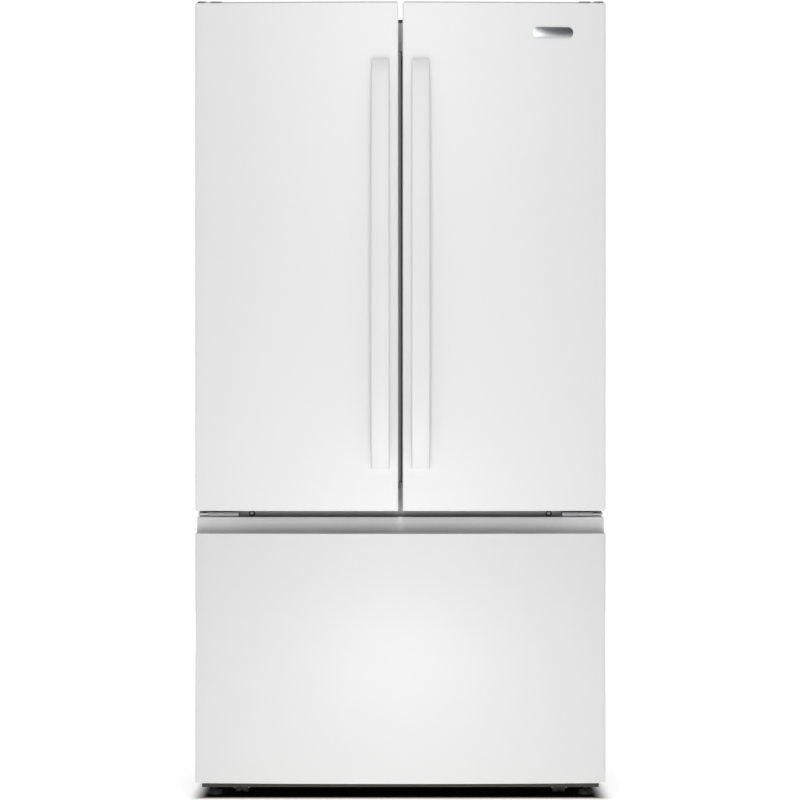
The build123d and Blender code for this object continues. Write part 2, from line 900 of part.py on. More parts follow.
def make_fan_motors():
    """Motors of both fans, each with its shaft in its fan's hub and its stand."""
    x, y, z = evaporator_fan_at
    cold = on_axis(motor(24), (x, y + 20, z), (0, -1, 0))
    back = inner_back - liner
    cold += block((x - 10, x + 10), (y + 40, back), (z - 10, z + 10))
    x, y, z = cooling_fan
    warm = on_axis(motor(34), (x + 3, y, z), (-1, 0, 0))
    warm += block((x + 12, x + 30), (y - 12, y + 12), (frame_top, z - 10))
    return group([cold, warm])


def fin_stack(x, y, z, count):
    """Thin upright plates, evenly spaced along X."""
    pitch = (x[1] - x[0]) / (count - 1)
    fin = Box(1.2, y[1] - y[0], z[1] - z[0])
    return [Pos(x[0] + pitch * number, sum(y) / 2, sum(z) / 2) * fin for number in range(count)]


def make_evaporator():
    """Finned evaporator coil behind its cover."""
    y = (cover_front + 20, inner_back - liner - 8)
    z = (tread_top + liner + 12, tread_top + liner + 100)
    half = inner_half - 81
    plates = fin_stack((-half, half), y, z, 24)
    tubes = [
        rod((-half - 12, tube_y, tube_z), (1, 0, 0), 4.0, 2 * half + 24)
        for tube_y in (y[0] + 11, y[1] - 11)
        for tube_z in (z[0] + 16, sum(z) / 2, z[1] - 16)
    ]
    return tubes[0] + tubes[1:] + plates


def make_evaporator_cover():
    """Vented panel in front of the evaporator."""
    panel = block(
        (-inner_half + 3, inner_half - 3),
        (cover_front, cover_front + 3),
        (tread_top + liner + 1, freezer_top - 1),
    )
    fan_hole = rod((0, cover_front, evaporator_fan_z), (0, 1, 0), fan_radius + 4, 3)
    vents = [Pos(x, cover_front + 1.5, freezer_top - 40) * Box(60, 6, 8) for x in (-290, -200, 200, 290)]
    guard = [
        Pos(0, cover_front + 1.5, evaporator_fan_z + dz) * Box(2 * fan_radius + 12, 3, 3)
        for dz in (-32, -16, 0, 16, 32)
    ]
    return panel - fan_hole - vents + guard


def make_compressor():
    """Sealed compressor on its mounting plate and three grommets."""
    x, y = 210.0, machine_front + 125.0
    dome = extrude(Circle(compressor_radius), 150)
    dome = fillet(dome.edges().filter_by(GeomType.CIRCLE), 34)
    plate = Pos(0, 0, 4) * Box(215, 170, 3)
    grommets = [extrude(Pos(dx, dy, -8) * Circle(11), 12) for dx in (-85, 85) for dy in (-65, 65)]
    stub = extrude(Pos(-40, 0, 146) * Circle(5), 40)
    return Pos(x, y, frame_top + 8) * (dome + plate + grommets + stub)


def make_condenser():
    """Finned condenser block beside its fan."""
    x, y, z = (-330.0, -110.0), (machine_front + 25, case_back - 30), (frame_top + 34, machine_height - 24)
    fins = fin_stack(x, y, z, 18)
    tubes = [
        rod((x[0] - 10, tube_y, tube_z), (1, 0, 0), 4.0, x[1] - x[0] + 20)
        for tube_y in (y[0] + 20, y[1] - 20)
        for tube_z in (z[0] + 20, sum(z) / 2, z[1] - 20)
    ]
    feet = [block((dx, dx + 4), (y[0], y[1]), (frame_top + 24, z[0] + 26)) for dx in (x[0] - 8, x[1] + 4)]
    base = block((x[0] - 8, x[1] + 8), y, (frame_top + 22, frame_top + 24))
    return tubes[0] + tubes[1:] + fins + feet + base


def make_drain_pan():
    """Pan under the condenser that catches defrost water."""
    return tub((-345, -95), (machine_front + 15, case_back - 22), (frame_top, frame_top + 22), 2.0)


# ---- Every node of the part ----
def make_nodes():
    """Node names and their solids."""
    door = {
        "door_panel": make_door_panel(),
        "door_core": make_door_core(),
        "door_gasket": make_door_gasket(),
        "end_caps": make_end_caps(),
        "handle": make_handle(),
        "door_bins": make_door_bins(),
    }
    nodes = {f"right_{name}": shape for name, shape in door.items()}
    nodes |= {f"left_{name}": flipped(shape) for name, shape in door.items()}
    nodes |= {
        "right_door_liner": make_door_liner(),
        "left_door_liner": make_left_door_liner(),
        "mullion_flap": make_mullion_flap(),
        "case_wrapper": make_case_wrapper(),
        "back_panel": make_back_panel(),
        "machine_cover": make_machine_cover(),
        "power_inlet": make_power_inlet(),
        "side_foam": make_side_foam(),
        "back_foam": make_back_foam(),
        "level_foam": make_level_foam(),
        "fresh_food_liner": make_fresh_food_liner(),
        "freezer_liner": make_freezer_liner(),
        "centre_rail": make_centre_rail(),
        "base_frame": make_base_frame(),
        "toe_grille": make_toe_grille(),
        "levelling_feet": make_levelling_feet(),
        "front_rollers": make_rollers(front_roller_centre, front_roller_y, front_axle_z),
        "rear_rollers": make_rollers(rear_roller_centre, rear_roller_y, roller_radius),
        "top_hinges": make_top_hinges(),
        "hinge_covers": make_hinge_covers(),
        "centre_hinges": make_centre_hinges(),
        "hinge_screws": make_hinge_screws(),
        "drawer_panel": make_drawer_panel(),
        "drawer_core": make_drawer_core(),
        "pocket_pull": make_pocket_pull(),
        "drawer_gasket": make_drawer_gasket(),
        "rail_channels": make_rail_channels(),
        "rail_middles": make_rail_middles(),
        "rail_sliders": make_rail_sliders(),
        "drawer_bin": make_drawer_bin(),
        "freezer_basket": make_freezer_basket(),
        "shelf_tracks": make_shelf_tracks(),
        "shelf_brackets": make_shelf_brackets(),
        "glass_shelves": make_glass_shelves(),
        "crisper_lid": make_crisper_lid(),
        "right_crisper": make_crisper(),
        "left_crisper": flipped(make_crisper()),
        "control_panel": make_control_panel(),
        "colder_button": make_button(-button_x),
        "warmer_button": make_button(button_x),
        "evaporator": make_evaporator(),
        "evaporator_cover": make_evaporator_cover(),
        "evaporator_fan": make_evaporator_fan(),
        "condenser_fan": make_condenser_fan(),
        "fan_motors": make_fan_motors(),
        "compressor": make_compressor(),
        "condenser": make_condenser(),
        "drain_pan": make_drain_pan(),
    }
    return nodes


def main():
    """Write one STEP file for each node."""
    os.makedirs("parts", exist_ok=True)
    nodes = make_nodes()
    for name, shape in nodes.items():
        export_step(shape, f"parts/{name}.step")
    print(len(nodes), "nodes")


if __name__ == "__main__":
    main()
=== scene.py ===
"""Visual model of a french door refrigerator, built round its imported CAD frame.

Metres, +Z up, the doors face -Y. Pieces are placed from the frame's own boxes and joints, and the
details that the frame doesn't hold have sizes of their own here.
"""

import json
import logging
import math
from dataclasses import dataclass
from enum import Enum
from typing import Any, Callable, Iterable, Sequence

import bmesh
import bpy
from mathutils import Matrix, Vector


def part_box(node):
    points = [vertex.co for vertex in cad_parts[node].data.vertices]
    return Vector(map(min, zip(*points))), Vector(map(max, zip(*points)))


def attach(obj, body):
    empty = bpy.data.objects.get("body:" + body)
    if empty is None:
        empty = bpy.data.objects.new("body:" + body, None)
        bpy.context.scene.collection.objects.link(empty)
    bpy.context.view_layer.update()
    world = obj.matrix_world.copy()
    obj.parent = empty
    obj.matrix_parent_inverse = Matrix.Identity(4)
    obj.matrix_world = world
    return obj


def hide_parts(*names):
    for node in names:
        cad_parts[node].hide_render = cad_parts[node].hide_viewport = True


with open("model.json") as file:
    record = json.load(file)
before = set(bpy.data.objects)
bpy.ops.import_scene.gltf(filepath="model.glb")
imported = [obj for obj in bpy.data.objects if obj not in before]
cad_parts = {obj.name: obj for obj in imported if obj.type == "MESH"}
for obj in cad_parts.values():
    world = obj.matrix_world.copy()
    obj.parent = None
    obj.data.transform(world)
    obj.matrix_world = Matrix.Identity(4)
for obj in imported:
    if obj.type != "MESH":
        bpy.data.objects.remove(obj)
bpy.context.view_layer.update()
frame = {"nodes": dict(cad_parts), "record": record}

LOG = logging.getLogger("refrigerator")
MM = 0.001
Colour = tuple[float, float, float]
Point = tuple[float, float, float]
Pair = tuple[float, float]
Ring = list[Point]


class Side(Enum):
    """Which of the two upper doors a piece belongs to."""

    LEFT = -1
    RIGHT = 1

    @property
    def word(self) -> str:
        """The side's name as the CAD nodes spell it."""
        return self.name.lower()


# ---------------------------------------------------------------- shader graph
class Sock:
    """A shader output that can be used in Python arithmetic."""

    def __init__(self, graph: "Graph", output: bpy.types.NodeSocket) -> None:
        """Keep the output and the graph that new Math nodes go into."""
        self.graph = graph
        self.output = output

    def _math(self, operation: str, first: Any, second: Any) -> "Sock":
        """Add one Math node and return its value."""
        return self.graph.add("ShaderNodeMath", {"operation": operation}, {0: first, 1: second})

    def __add__(self, other: Any) -> "Sock":
        """Sum."""
        return self._math("ADD", self, other)

    __radd__ = __add__

    def __sub__(self, other: Any) -> "Sock":
        """Difference."""
        return self._math("SUBTRACT", self, other)

    def __rsub__(self, other: Any) -> "Sock":
        """Difference from a number on the left."""
        return self._math("SUBTRACT", other, self)

    def __mul__(self, other: Any) -> "Sock":
        """Product."""
        return self._math("MULTIPLY", self, other)

    __rmul__ = __mul__

    def abs(self) -> "Sock":
        """Size without its sign."""
        return self._math("ABSOLUTE", self, 0.0)

    def max(self, other: Any) -> "Sock":
        """The larger of two values."""
        return self._math("MAXIMUM", self, other)


class Graph:
    """The node tree of one material."""

    def __init__(self, name: str) -> None:
        """Start an empty material.

        Args:
            name: the material's name.
        """
        self.material = bpy.data.materials.new(name)
        self.material.use_nodes = True
        self.tree = self.material.node_tree
        self.tree.nodes.clear()

    def add(self, kind: str, settings: dict[str, Any] | None = None,
            inputs: dict[Any, Any] | None = None, output: Any = 0) -> Sock:
        """Add a node of any type.

        Args:
            kind: the node's Blender type.
            settings: its properties, set before its sockets; "stops" fills a colour ramp.
            inputs: a value or a Sock for each input name or number.
            output: the name or number of the output to return.

        Returns:
            The chosen output.
        """
        node = self.tree.nodes.new(kind)
        for key, value in (settings or {}).items():
            if key == "stops":
                self._fill_ramp(node, value)
            else:
                setattr(node, key, value)
        for key, value in (inputs or {}).items():
            if isinstance(value, Sock):
                self.tree.links.new(value.output, node.inputs[key])
            else:
                node.inputs[key].default_value = value
        return Sock(self, node.outputs[output])

    @staticmethod
    def _fill_ramp(node: bpy.types.Node, stops: Sequence[tuple[float, Colour]]) -> None:
        """Give a colour ramp its stops."""
        elements = node.color_ramp.elements
        while len(elements) < len(stops):
            elements.new(0.5)
        for element, (place, colour) in zip(elements, stops):
            element.position = place
            element.color = (*colour, 1.0)

    def place(self, scale: Point = (1.0, 1.0, 1.0)) -> Sock:
        """Object coordinates in metres, stretched by a scale along each axis."""
        coordinates = self.add("ShaderNodeTexCoord", output="Object")
        return self.add("ShaderNodeMapping", inputs={"Vector": coordinates, "Scale": scale})

    def noise(self, scale: float, detail: float = 2.0, stretch: Point = (1.0, 1.0, 1.0)) -> Sock:
        """Noise whose features are about 1/scale metres wide.

        Args:
            scale: features per metre.
            detail: octaves of finer noise.
            stretch: scale along each axis, for grain that runs one way.

        Returns:
            The noise value, from 0 to 1.
        """
        return self.add("ShaderNodeTexNoise", inputs={
            "Vector": self.place(stretch), "Scale": scale, "Detail": detail})

    def blend(self, amount: Sock, low: Colour, high: Colour) -> Sock:
        """Mix of two colours."""
        return self.add("ShaderNodeMix", {"data_type": "RGBA"}, {
            0: amount, 6: (*low, 1.0), 7: (*high, 1.0)}, output=2)

    def bump(self, height: Sock, strength: float, depth: float) -> Sock:
        """Surface relief from a height value."""
        return self.add("ShaderNodeBump", inputs={
            "Height": height, "Strength": strength, "Distance": depth})

    def close(self, **inputs: Any) -> bpy.types.Material:
        """Finish the material with a Principled shader.

        Args:
            inputs: shader inputs, with spaces written as underscores.

        Returns:
            The finished material.
        """
        named = {key.replace("_", " "): value for key, value in inputs.items()}
        shader = self.add("ShaderNodeBsdfPrincipled", inputs=named)
        self.add_output(shader)
        return self.material

    def add_output(self, shader: Sock) -> None:
        """Link a shader to the material's surface."""
        output = self.tree.nodes.new("ShaderNodeOutputMaterial")
        self.tree.links.new(shader.output, output.inputs["Surface"])


def grey(value: float) -> Colour:
    """A neutral colour."""
    return (value, value, value)


def shade(colour: Colour, factor: float) -> Colour:
    """A colour made darker or lighter."""
    return tuple(min(1.0, channel * factor) for channel in colour)


# -------------------------------------------------------------------- finishes
@dataclass(frozen=True)
class Paint:
    """Sprayed enamel on steel: fine orange peel under a soft coat."""

    name: str
    colour: Colour
    roughness: float = 0.46
    coat: float = 0.5
    peel: float = 0.04

    def build(self) -> bpy.types.Material:
        """Make the material."""
        graph = Graph(self.name)
        cloud = graph.noise(2.2, 3.0)
        peel = graph.noise(420.0, 1.0)
        tint = graph.blend(cloud, shade(self.colour, 0.985), shade(self.colour, 1.01))
        return graph.close(
            Base_Color=tint,
            Roughness=cloud * 0.06 + peel * 0.04 + (self.roughness - 0.05),
            Coat_Weight=self.coat,
            Coat_Roughness=0.36,
            Specular_IOR_Level=0.6,
            Normal=graph.bump(peel, self.peel, 0.2 * MM),
        )


@dataclass(frozen=True)
class Moulding:
    """Injection-moulded plastic with a fine spark-eroded grain and faint flow clouds."""

    name: str
    colour: Colour
    roughness: float = 0.45
    grain: float = 0.12
    grain_scale: float = 1400.0

    def build(self) -> bpy.types.Material:
        """Make the material."""
        graph = Graph(self.name)
        flow = graph.noise(7.0, 2.0, (1.0, 1.0, 0.4))
        grain = graph.noise(self.grain_scale, 2.0)
        return graph.close(
            Base_Color=graph.blend(flow, shade(self.colour, 0.95), shade(self.colour, 1.04)),
            Roughness=grain * 0.12 + flow * 0.05 + (self.roughness - 0.08),
            Normal=graph.bump(grain, self.grain, 0.15 * MM),
        )


@dataclass(frozen=True)
class Galvanised:
    """Zinc-coated sheet with its crystal spangle."""

    name: str
    colour: Colour
    spangle: float = 85.0

    def build(self) -> bpy.types.Material:
        """Make the material."""
        graph = Graph(self.name)
        crystals = graph.add("ShaderNodeTexVoronoi", inputs={
            "Vector": graph.place(), "Scale": self.spangle}, output="Color")
        tone = graph.add("ShaderNodeSeparateColor", inputs={0: crystals})
        smear = graph.noise(9.0, 4.0)
        amount = tone * 0.7 + smear * 0.3
        return graph.close(
            Base_Color=graph.blend(amount, shade(self.colour, 0.8), shade(self.colour, 1.12)),
            Metallic=0.9,
            Roughness=tone * 0.16 + smear * 0.12 + 0.3,
            Normal=graph.bump(tone, 0.06, 0.2 * MM),
        )


@dataclass(frozen=True)
class Brushed:
    """Rolled or ground steel with grain along one axis."""

    name: str
    colour: Colour
    stretch: Point = (1.0, 1.0, 60.0)
    roughness: float = 0.32

    def build(self) -> bpy.types.Material:
        """Make the material."""
        graph = Graph(self.name)
        grain = graph.noise(40.0, 3.0, self.stretch)
        patch = graph.noise(24.0, 2.0)
        return graph.close(
            Base_Color=graph.blend(grain, shade(self.colour, 0.86), shade(self.colour, 1.08)),
            Metallic=1.0,
            Roughness=grain * 0.14 + patch * 0.08 + (self.roughness - 0.1),
            Normal=graph.bump(grain, 0.12, 0.1 * MM),
        )


@dataclass(frozen=True)
class Clear:
    """Clear moulded plastic or glass: see-through face on, denser and tinted at a slant."""

    name: str
    colour: Colour
    density: float = 0.16
    edge: float = 0.62
    roughness: float = 0.06

    def build(self) -> bpy.types.Material:
        """Make the material."""
        graph = Graph(self.name)
        slant = graph.add("ShaderNodeLayerWeight", inputs={"Blend": 0.35}, output="Facing")
        haze = graph.noise(11.0, 3.0)
        return graph.close(
            Base_Color=graph.blend(haze, shade(self.colour, 0.94), shade(self.colour, 1.03)),
            Roughness=haze * 0.05 + self.roughness,
            Alpha=slant * self.edge + haze * 0.04 + self.density,
            Coat_Weight=0.5,
        )


@dataclass(frozen=True)
class Foam:
    """Poured insulating foam: closed cells under a cut skin."""

    name: str
    colour: Colour

    def build(self) -> bpy.types.Material:
        """Make the material."""
        graph = Graph(self.name)
        cells = graph.add("ShaderNodeTexVoronoi", {"feature": "DISTANCE_TO_EDGE"}, {
            "Vector": graph.place(), "Scale": 480.0})
        age = graph.noise(5.0, 3.0)
        return graph.close(
            Base_Color=graph.blend(age, shade(self.colour, 0.86), self.colour),
            Roughness=cells * 0.2 + 0.75,
            Normal=graph.bump(cells, 0.5, 0.6 * MM),
        )


@dataclass(frozen=True)
class Rubber:
    """Soft extruded seal with a dull drawn surface."""

    name: str
    colour: Colour

    def build(self) -> bpy.types.Material:
        """Make the material."""
        graph = Graph(self.name)
        drawn = graph.noise(260.0, 2.0, (1.0, 0.25, 1.0))
        dust = graph.noise(14.0, 4.0)
        return graph.close(
            Base_Color=graph.blend(dust, shade(self.colour, 0.92), shade(self.colour, 1.1)),
            Roughness=dust * 0.12 + 0.6,
            Normal=graph.bump(drawn, 0.18, 0.2 * MM),
        )


Finish = Paint | Moulding | Galvanised | Brushed | Clear | Foam | Rubber

WHITE_PAINT = Paint("white_enamel", (0.845, 0.845, 0.845))
# The handles' white enamel made darker than the doors': painted shade for the shade on their faces.
HANDLE_SHADED_PAINT = Paint("handle_enamel", (0.765, 0.765, 0.765), roughness=0.4, peel=0.02)
WHITE_TRIM = Moulding("white_pocket_trim", (0.9, 0.9, 0.9), roughness=0.4, grain=0.05)
GREY_CAP = Moulding("grey_end_cap", (0.13, 0.13, 0.135), roughness=0.5)
LINER_WHITE = Moulding("liner_white", (0.80, 0.81, 0.82), roughness=0.33, grain=0.04, grain_scale=500.0)
FLAP_GREY = Moulding("flap_grey", (0.62, 0.62, 0.63), roughness=0.5)
LIP_GREY = Moulding("lip_grey", (0.4, 0.4, 0.41), roughness=0.45)
# Grey rail enamel; on the wrapper's front flange faces it is painted shade on the white sheet.
RAIL_PAINT_AND_FLANGE_SHADE = Paint("rail_enamel", (0.62, 0.62, 0.625), roughness=0.5, coat=0.1)
DARK_PLASTIC = Moulding("dark_plastic", (0.055, 0.055, 0.058), roughness=0.55)
FAN_PLASTIC = Moulding("fan_plastic", (0.06, 0.06, 0.065), roughness=0.4)
BASKET_WHITE = Moulding("basket_white", (0.72, 0.74, 0.76), roughness=0.4)
NYLON = Moulding("roller_nylon", (0.16, 0.16, 0.16), roughness=0.5)
BUTTON_GREY = Moulding("button_grey", (0.45, 0.47, 0.5), roughness=0.35)
LENS_WHITE = Moulding("lamp_lens", (0.9, 0.91, 0.9), roughness=0.25, grain=0.3, grain_scale=300.0)
SEAL_GREY = Rubber("seal_grey", (0.22, 0.22, 0.225))
GROMMET_BLACK = Rubber("grommet_black", (0.025, 0.025, 0.026))
ZINC = Galvanised("galvanised_sheet", (0.62, 0.63, 0.65))
HINGE_STEEL = Brushed("hinge_steel", (0.62, 0.62, 0.63), (60.0, 60.0, 4.0))
RAIL_STEEL = Brushed("rail_steel", (0.66, 0.67, 0.69), (60.0, 1.0, 60.0))
TRACK_STEEL = Brushed("track_steel", (0.66, 0.67, 0.69), (60.0, 60.0, 1.0))
SCREW_STEEL = Brushed("screw_steel", (0.5, 0.5, 0.52), (20.0, 20.0, 20.0), 0.38)
FIN_ALUMINIUM = Brushed("fin_aluminium", (0.76, 0.77, 0.79), (30.0, 30.0, 2.0), 0.4)
COPPER = Brushed("copper_tube", (0.72, 0.36, 0.22), (2.0, 40.0, 40.0), 0.3)
BADGE_METAL = Brushed("badge_metal", (0.56, 0.57, 0.6), (1.0, 40.0, 40.0), 0.3)
COMPRESSOR_BLACK = Paint("compressor_black", (0.02, 0.02, 0.022), roughness=0.4, coat=0.2, peel=0.3)
CLEAR_BIN = Clear("clear_bin", (0.86, 0.9, 0.93))
SHELF_GLASS = Clear("shelf_glass", (0.62, 0.82, 0.78), density=0.12, edge=0.7, roughness=0.02)
FOAM_CREAM = Foam("insulating_foam", (0.82, 0.72, 0.48))

_made: dict[str, bpy.types.Material] = {}


def material(finish: Finish) -> bpy.types.Material:
    """The finish's material, made the first time that it is asked for."""
    if finish.name not in _made:
        _made[finish.name] = finish.build()
    return _made[finish.name]


# ------------------------------------------------------------------- mesh tools
def mesh_object(name: str, points: Sequence[Point], faces: Sequence[Sequence[int]]) -> bpy.types.Object:
    """A mesh object from points and faces, merged, with its normals turned outwards.

    Args:
        name: the object's name.
        points: corner places in metres.
        faces: point numbers of each face.

    Returns:
        The new object, linked to the scene.
    """
    mesh = bpy.data.meshes.new(name)
    mesh.from_pydata([tuple(point) for point in points], [], [tuple(face) for face in faces])
    mesh.validate()
    edit = bmesh.new()
    edit.from_mesh(mesh)
    bmesh.ops.remove_doubles(edit, verts=edit.verts, dist=1e-6)
    bmesh.ops.recalc_face_normals(edit, faces=edit.faces)
    edit.to_mesh(mesh)
    edit.free()
    made = bpy.data.objects.new(name, mesh)
    bpy.context.scene.collection.objects.link(made)
    return made


def modify(piece: bpy.types.Object, kind: str, **settings: Any) -> bpy.types.Object:
    """Add a modifier with its settings and return the piece."""
    modifier = piece.modifiers.new(kind.lower(), kind)
    for key, value in settings.items():
        setattr(modifier, key, value)
    return piece


def settle(piece: bpy.types.Object, angle: float = 32.0) -> bpy.types.Object:
    """Turn a piece's modifiers into plain mesh and shade it smooth up to an angle.

    Args:
        piece: the object to settle.
        angle: edges sharper than this, in degrees, stay crisp.

    Returns:
        The same object.
    """
    if piece.modifiers:
        graph = bpy.context.evaluated_depsgraph_get()
        solid = bpy.data.meshes.new_from_object(piece.evaluated_get(graph))
        piece.modifiers.clear()
        old, piece.data = piece.data, solid
        bpy.data.meshes.remove(old)
    piece.data.shade_smooth()
    piece.data.set_sharp_from_angle(angle=math.radians(angle))
    return piece


def round_edges(piece: bpy.types.Object, radius: float, segments: int = 3,
                angle: float = 30.0) -> bpy.types.Object:
    """Round every edge sharper than an angle."""
    return modify(piece, "BEVEL", width=radius, segments=segments, limit_method="ANGLE",
                  angle_limit=math.radians(angle), use_clamp_overlap=True)


def thicken(piece: bpy.types.Object, thickness: float, offset: float = -1.0) -> bpy.types.Object:
    """Give a sheet a wall, inwards by default."""
    return modify(piece, "SOLIDIFY", thickness=thickness, offset=offset, use_even_offset=True)


def dress(piece: bpy.types.Object, body: str, finish: Finish,
          stands_for: Iterable[str] = ()) -> bpy.types.Object:
    """Give a piece its finish, its body and the CAD nodes that it stands for.

    Args:
        piece: the finished object.
        body: the CAD body that it moves with.
        finish: its finish.
        stands_for: CAD nodes that it replaces.

    Returns:
        The same object.
    """
    piece.data.materials.clear()
    piece.data.materials.append(material(finish))
    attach(piece, body)
    if stands_for:
        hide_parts(*stands_for)
    LOG.info("%s rides on %s with %d faces", piece.name, body, len(piece.data.polygons))
    return piece


def join(name: str, parts: Sequence[bpy.types.Object]) -> bpy.types.Object:
    """One object from several settled ones of the same finish."""
    edit = bmesh.new()
    for part in parts:
        edit.from_mesh(part.data)
    mesh = bpy.data.meshes.new(name)
    edit.to_mesh(mesh)
    edit.free()
    for part in parts:
        old = part.data
        bpy.data.objects.remove(part)
        bpy.data.meshes.remove(old)
    made = bpy.data.objects.new(name, mesh)
    bpy.context.scene.collection.objects.link(made)
    return made


def loft(name: str, rings: Sequence[Ring], closed: bool = True, caps: bool = True) -> bpy.types.Object:
    """Skin a row of rings that have the same number of points.

    Args:
        name: the object's name.
        rings: the rings, in order.
        closed: whether each ring joins up with itself.
        caps: whether the first and last rings are filled.

    Returns:
        The new object.
    """
    count = len(rings[0])
    points = [point for ring in rings for point in ring]
    last = count if closed else count - 1
    faces = [
        (row * count + i, row * count + (i + 1) % count,
         (row + 1) * count + (i + 1) % count, (row + 1) * count + i)
        for row in range(len(rings) - 1)
        for i in range(last)
    ]
    if caps:
        faces.append(tuple(range(count)))
        faces.append(tuple(range((len(rings) - 1) * count, len(rings) * count)))
    return mesh_object(name, points, faces)


def arc(centre: Pair, radius: float, start: float, end: float, steps: int) -> list[Pair]:
    """Points of an arc in a plane, angles in degrees."""
    return [
        (centre[0] + radius * math.cos(math.radians(start + (end - start) * i / steps)),
         centre[1] + radius * math.sin(math.radians(start + (end - start) * i / steps)))
        for i in range(steps + 1)
    ]


def rounded_rectangle(low: Pair, high: Pair, radius: float, steps: int = 4) -> list[Pair]:
    """Outline of a rectangle with round corners, anticlockwise."""
    (a, b), (c, d) = low, high
    radius = max(1e-5, min(radius, (c - a) / 2, (d - b) / 2))
    return (
        arc((c - radius, b + radius), radius, -90, 0, steps)
        + arc((c - radius, d - radius), radius, 0, 90, steps)
        + arc((a + radius, d - radius), radius, 90, 180, steps)
        + arc((a + radius, b + radius), radius, 180, 270, steps)
    )


def round_profile(height: float, radius: float, steps: int = 4) -> list[Pair]:
    """(distance along, inset) of a straight run with a rounded start and end."""
    start = [(radius * (1 - math.cos(math.radians(90 * i / steps))),
              radius * (1 - math.sin(math.radians(90 * i / steps)))) for i in range(steps + 1)]
    return start + [(height - along, inset) for along, inset in reversed(start)]


def block(name: str, low: Point, high: Point, radius: float, segments: int = 3) -> bpy.types.Object:
    """A block with rounded edges between two corners, settled."""
    (a, b, c), (d, e, f) = low, high
    points = [(x, y, z) for z in (c, f) for y in (b, e) for x in (a, d)]
    faces = [(0, 2, 3, 1), (4, 5, 7, 6), (0, 1, 5, 4), (2, 6, 7, 3), (0, 4, 6, 2), (1, 3, 7, 5)]
    made = mesh_object(name, points, faces)
    return settle(round_edges(made, radius, segments))


class Rim(Enum):
    """Long wall of a tub whose rim dips in the middle."""

    FRONT = "front"
    BACK = "back"


def tray(name: str, low: Point, high: Point, wall: float, radius: float, draft: float = 0.0,
         drop: float = 0.0, rim: Rim = Rim.FRONT) -> bpy.types.Object:
    """Open-topped moulded tub with round corners, a draft and one dipped wall, settled.

    Args:
        name: the object's name.
        low: lowest outer corner.
        high: highest outer corner.
        wall: wall thickness.
        radius: radius of the upright and floor corners.
        draft: how much narrower each side is at the floor.
        drop: how far the middle of the dipped wall lies under the rim.
        rim: the wall that dips.

    Returns:
        The new object.
    """
    steps, rows = 5, 6
    height = high[2] - low[2]
    rings: list[Ring] = []

    def ring(z: float, inset: float) -> Ring:
        """One level of the outer wall."""
        outline = rounded_rectangle(
            (low[0] + inset, low[1] + inset), (high[0] - inset, high[1] - inset), radius, steps)
        return [(x, y, z) for x, y in outline]

    def dips(y: float) -> bool:
        """Whether a point of the rim belongs to the dipped wall."""
        return y < low[1] + radius / 2 if rim is Rim.FRONT else y > high[1] - radius / 2

    for i in range(steps + 1):
        turn = math.radians(90 * i / steps)
        rings.append(ring(low[2] + radius * (1 - math.cos(turn)), draft + radius * (1 - math.sin(turn))))
    for i in range(1, rows + 1):
        share = i / rows
        rings.append(ring(low[2] + radius + (height - radius) * share, draft * (1 - share)))
    if drop:
        middle, reach = (low[0] + high[0]) / 2, (high[0] - low[0]) * 0.36
        rings[-1] = [
            (x, y, z - drop * smooth_step(1.0 - abs(x - middle) / reach) if dips(y) else z)
            for x, y, z in rings[-1]
        ]
    made = loft(name, rings, caps=False)
    edit = bmesh.new()
    edit.from_mesh(made.data)
    floor = [v for v in edit.verts if abs(v.co.z - rings[0][0][2]) < 1e-7]
    bmesh.ops.contextual_create(edit, geom=floor)
    bmesh.ops.recalc_face_normals(edit, faces=edit.faces)
    edit.to_mesh(made.data)
    edit.free()
    return settle(thicken(made, wall))


def smooth_step(value: float) -> float:
    """Eased ramp from 0 to 1."""
    value = max(0.0, min(1.0, value))
    return value * value * (3 - 2 * value)


def lathe(
    name: str, profile: Sequence[Pair], centre: Point, axis: int = 2, steps: int = 32
) -> bpy.types.Object:
    """A turned piece from (radius, along) points.

    Args:
        name: the object's name.
        profile: outline from one end of the axis to the other.
        centre: where the axis starts.
        axis: 0, 1 or 2 for X, Y or Z.
        steps: sides of the turning.

    Returns:
        The new object, settled.
    """
    rings: list[Ring] = []
    others = [i for i in range(3) if i != axis]
    for radius, along in profile:
        ring: Ring = []
        for i in range(steps):
            turn = 2 * math.pi * i / steps
            place = list(centre)
            place[axis] += along
            place[others[0]] += max(radius, 1e-5) * math.cos(turn)
            place[others[1]] += max(radius, 1e-5) * math.sin(turn)
            ring.append(tuple(place))
        rings.append(ring)
    return settle(loft(name, rings))


def tube(name: str, path: Sequence[Point], radius: float, sides: int = 12) -> bpy.types.Object:
    """A round tube along a path of points, settled."""
    centres = [Vector(point) for point in path]
    rings: list[Ring] = []
    side = Vector((0.0, 0.0, 1.0))
    for i, centre in enumerate(centres):
        ahead = centres[min(i + 1, len(centres) - 1)] - centres[max(i - 1, 0)]
        ahead.normalize()
        side = (side - ahead * side.dot(ahead))
        if side.length < 1e-4:
            side = ahead.orthogonal()
        side.normalize()
        other = ahead.cross(side)
        rings.append([
            tuple(centre + radius * (math.cos(2 * math.pi * k / sides) * side
                                     + math.sin(2 * math.pi * k / sides) * other))
            for k in range(sides)
        ])
    return settle(loft(name, rings))


def softened(node: str, radius: float, segments: int = 2) -> bpy.types.Object:
    """A merged copy of a CAD node with its flat faces joined and its edges rounded, settled.

    Args:
        node: the CAD node.
        radius: the edges' radius.
        segments: steps in each rounded edge.

    Returns:
        The new object, named after the node.
    """
    edit = bmesh.new()
    edit.from_mesh(frame["nodes"][node].data)
    bmesh.ops.remove_doubles(edit, verts=edit.verts, dist=1e-6)
    bmesh.ops.dissolve_limit(edit, angle_limit=math.radians(0.5), verts=edit.verts, edges=edit.edges)
    mesh = bpy.data.meshes.new(f"{node}_soft")
    edit.to_mesh(mesh)
    edit.free()
    made = bpy.data.objects.new(f"{node}_soft", mesh)
    bpy.context.scene.collection.objects.link(made)
    return settle(round_edges(made, radius, segments))


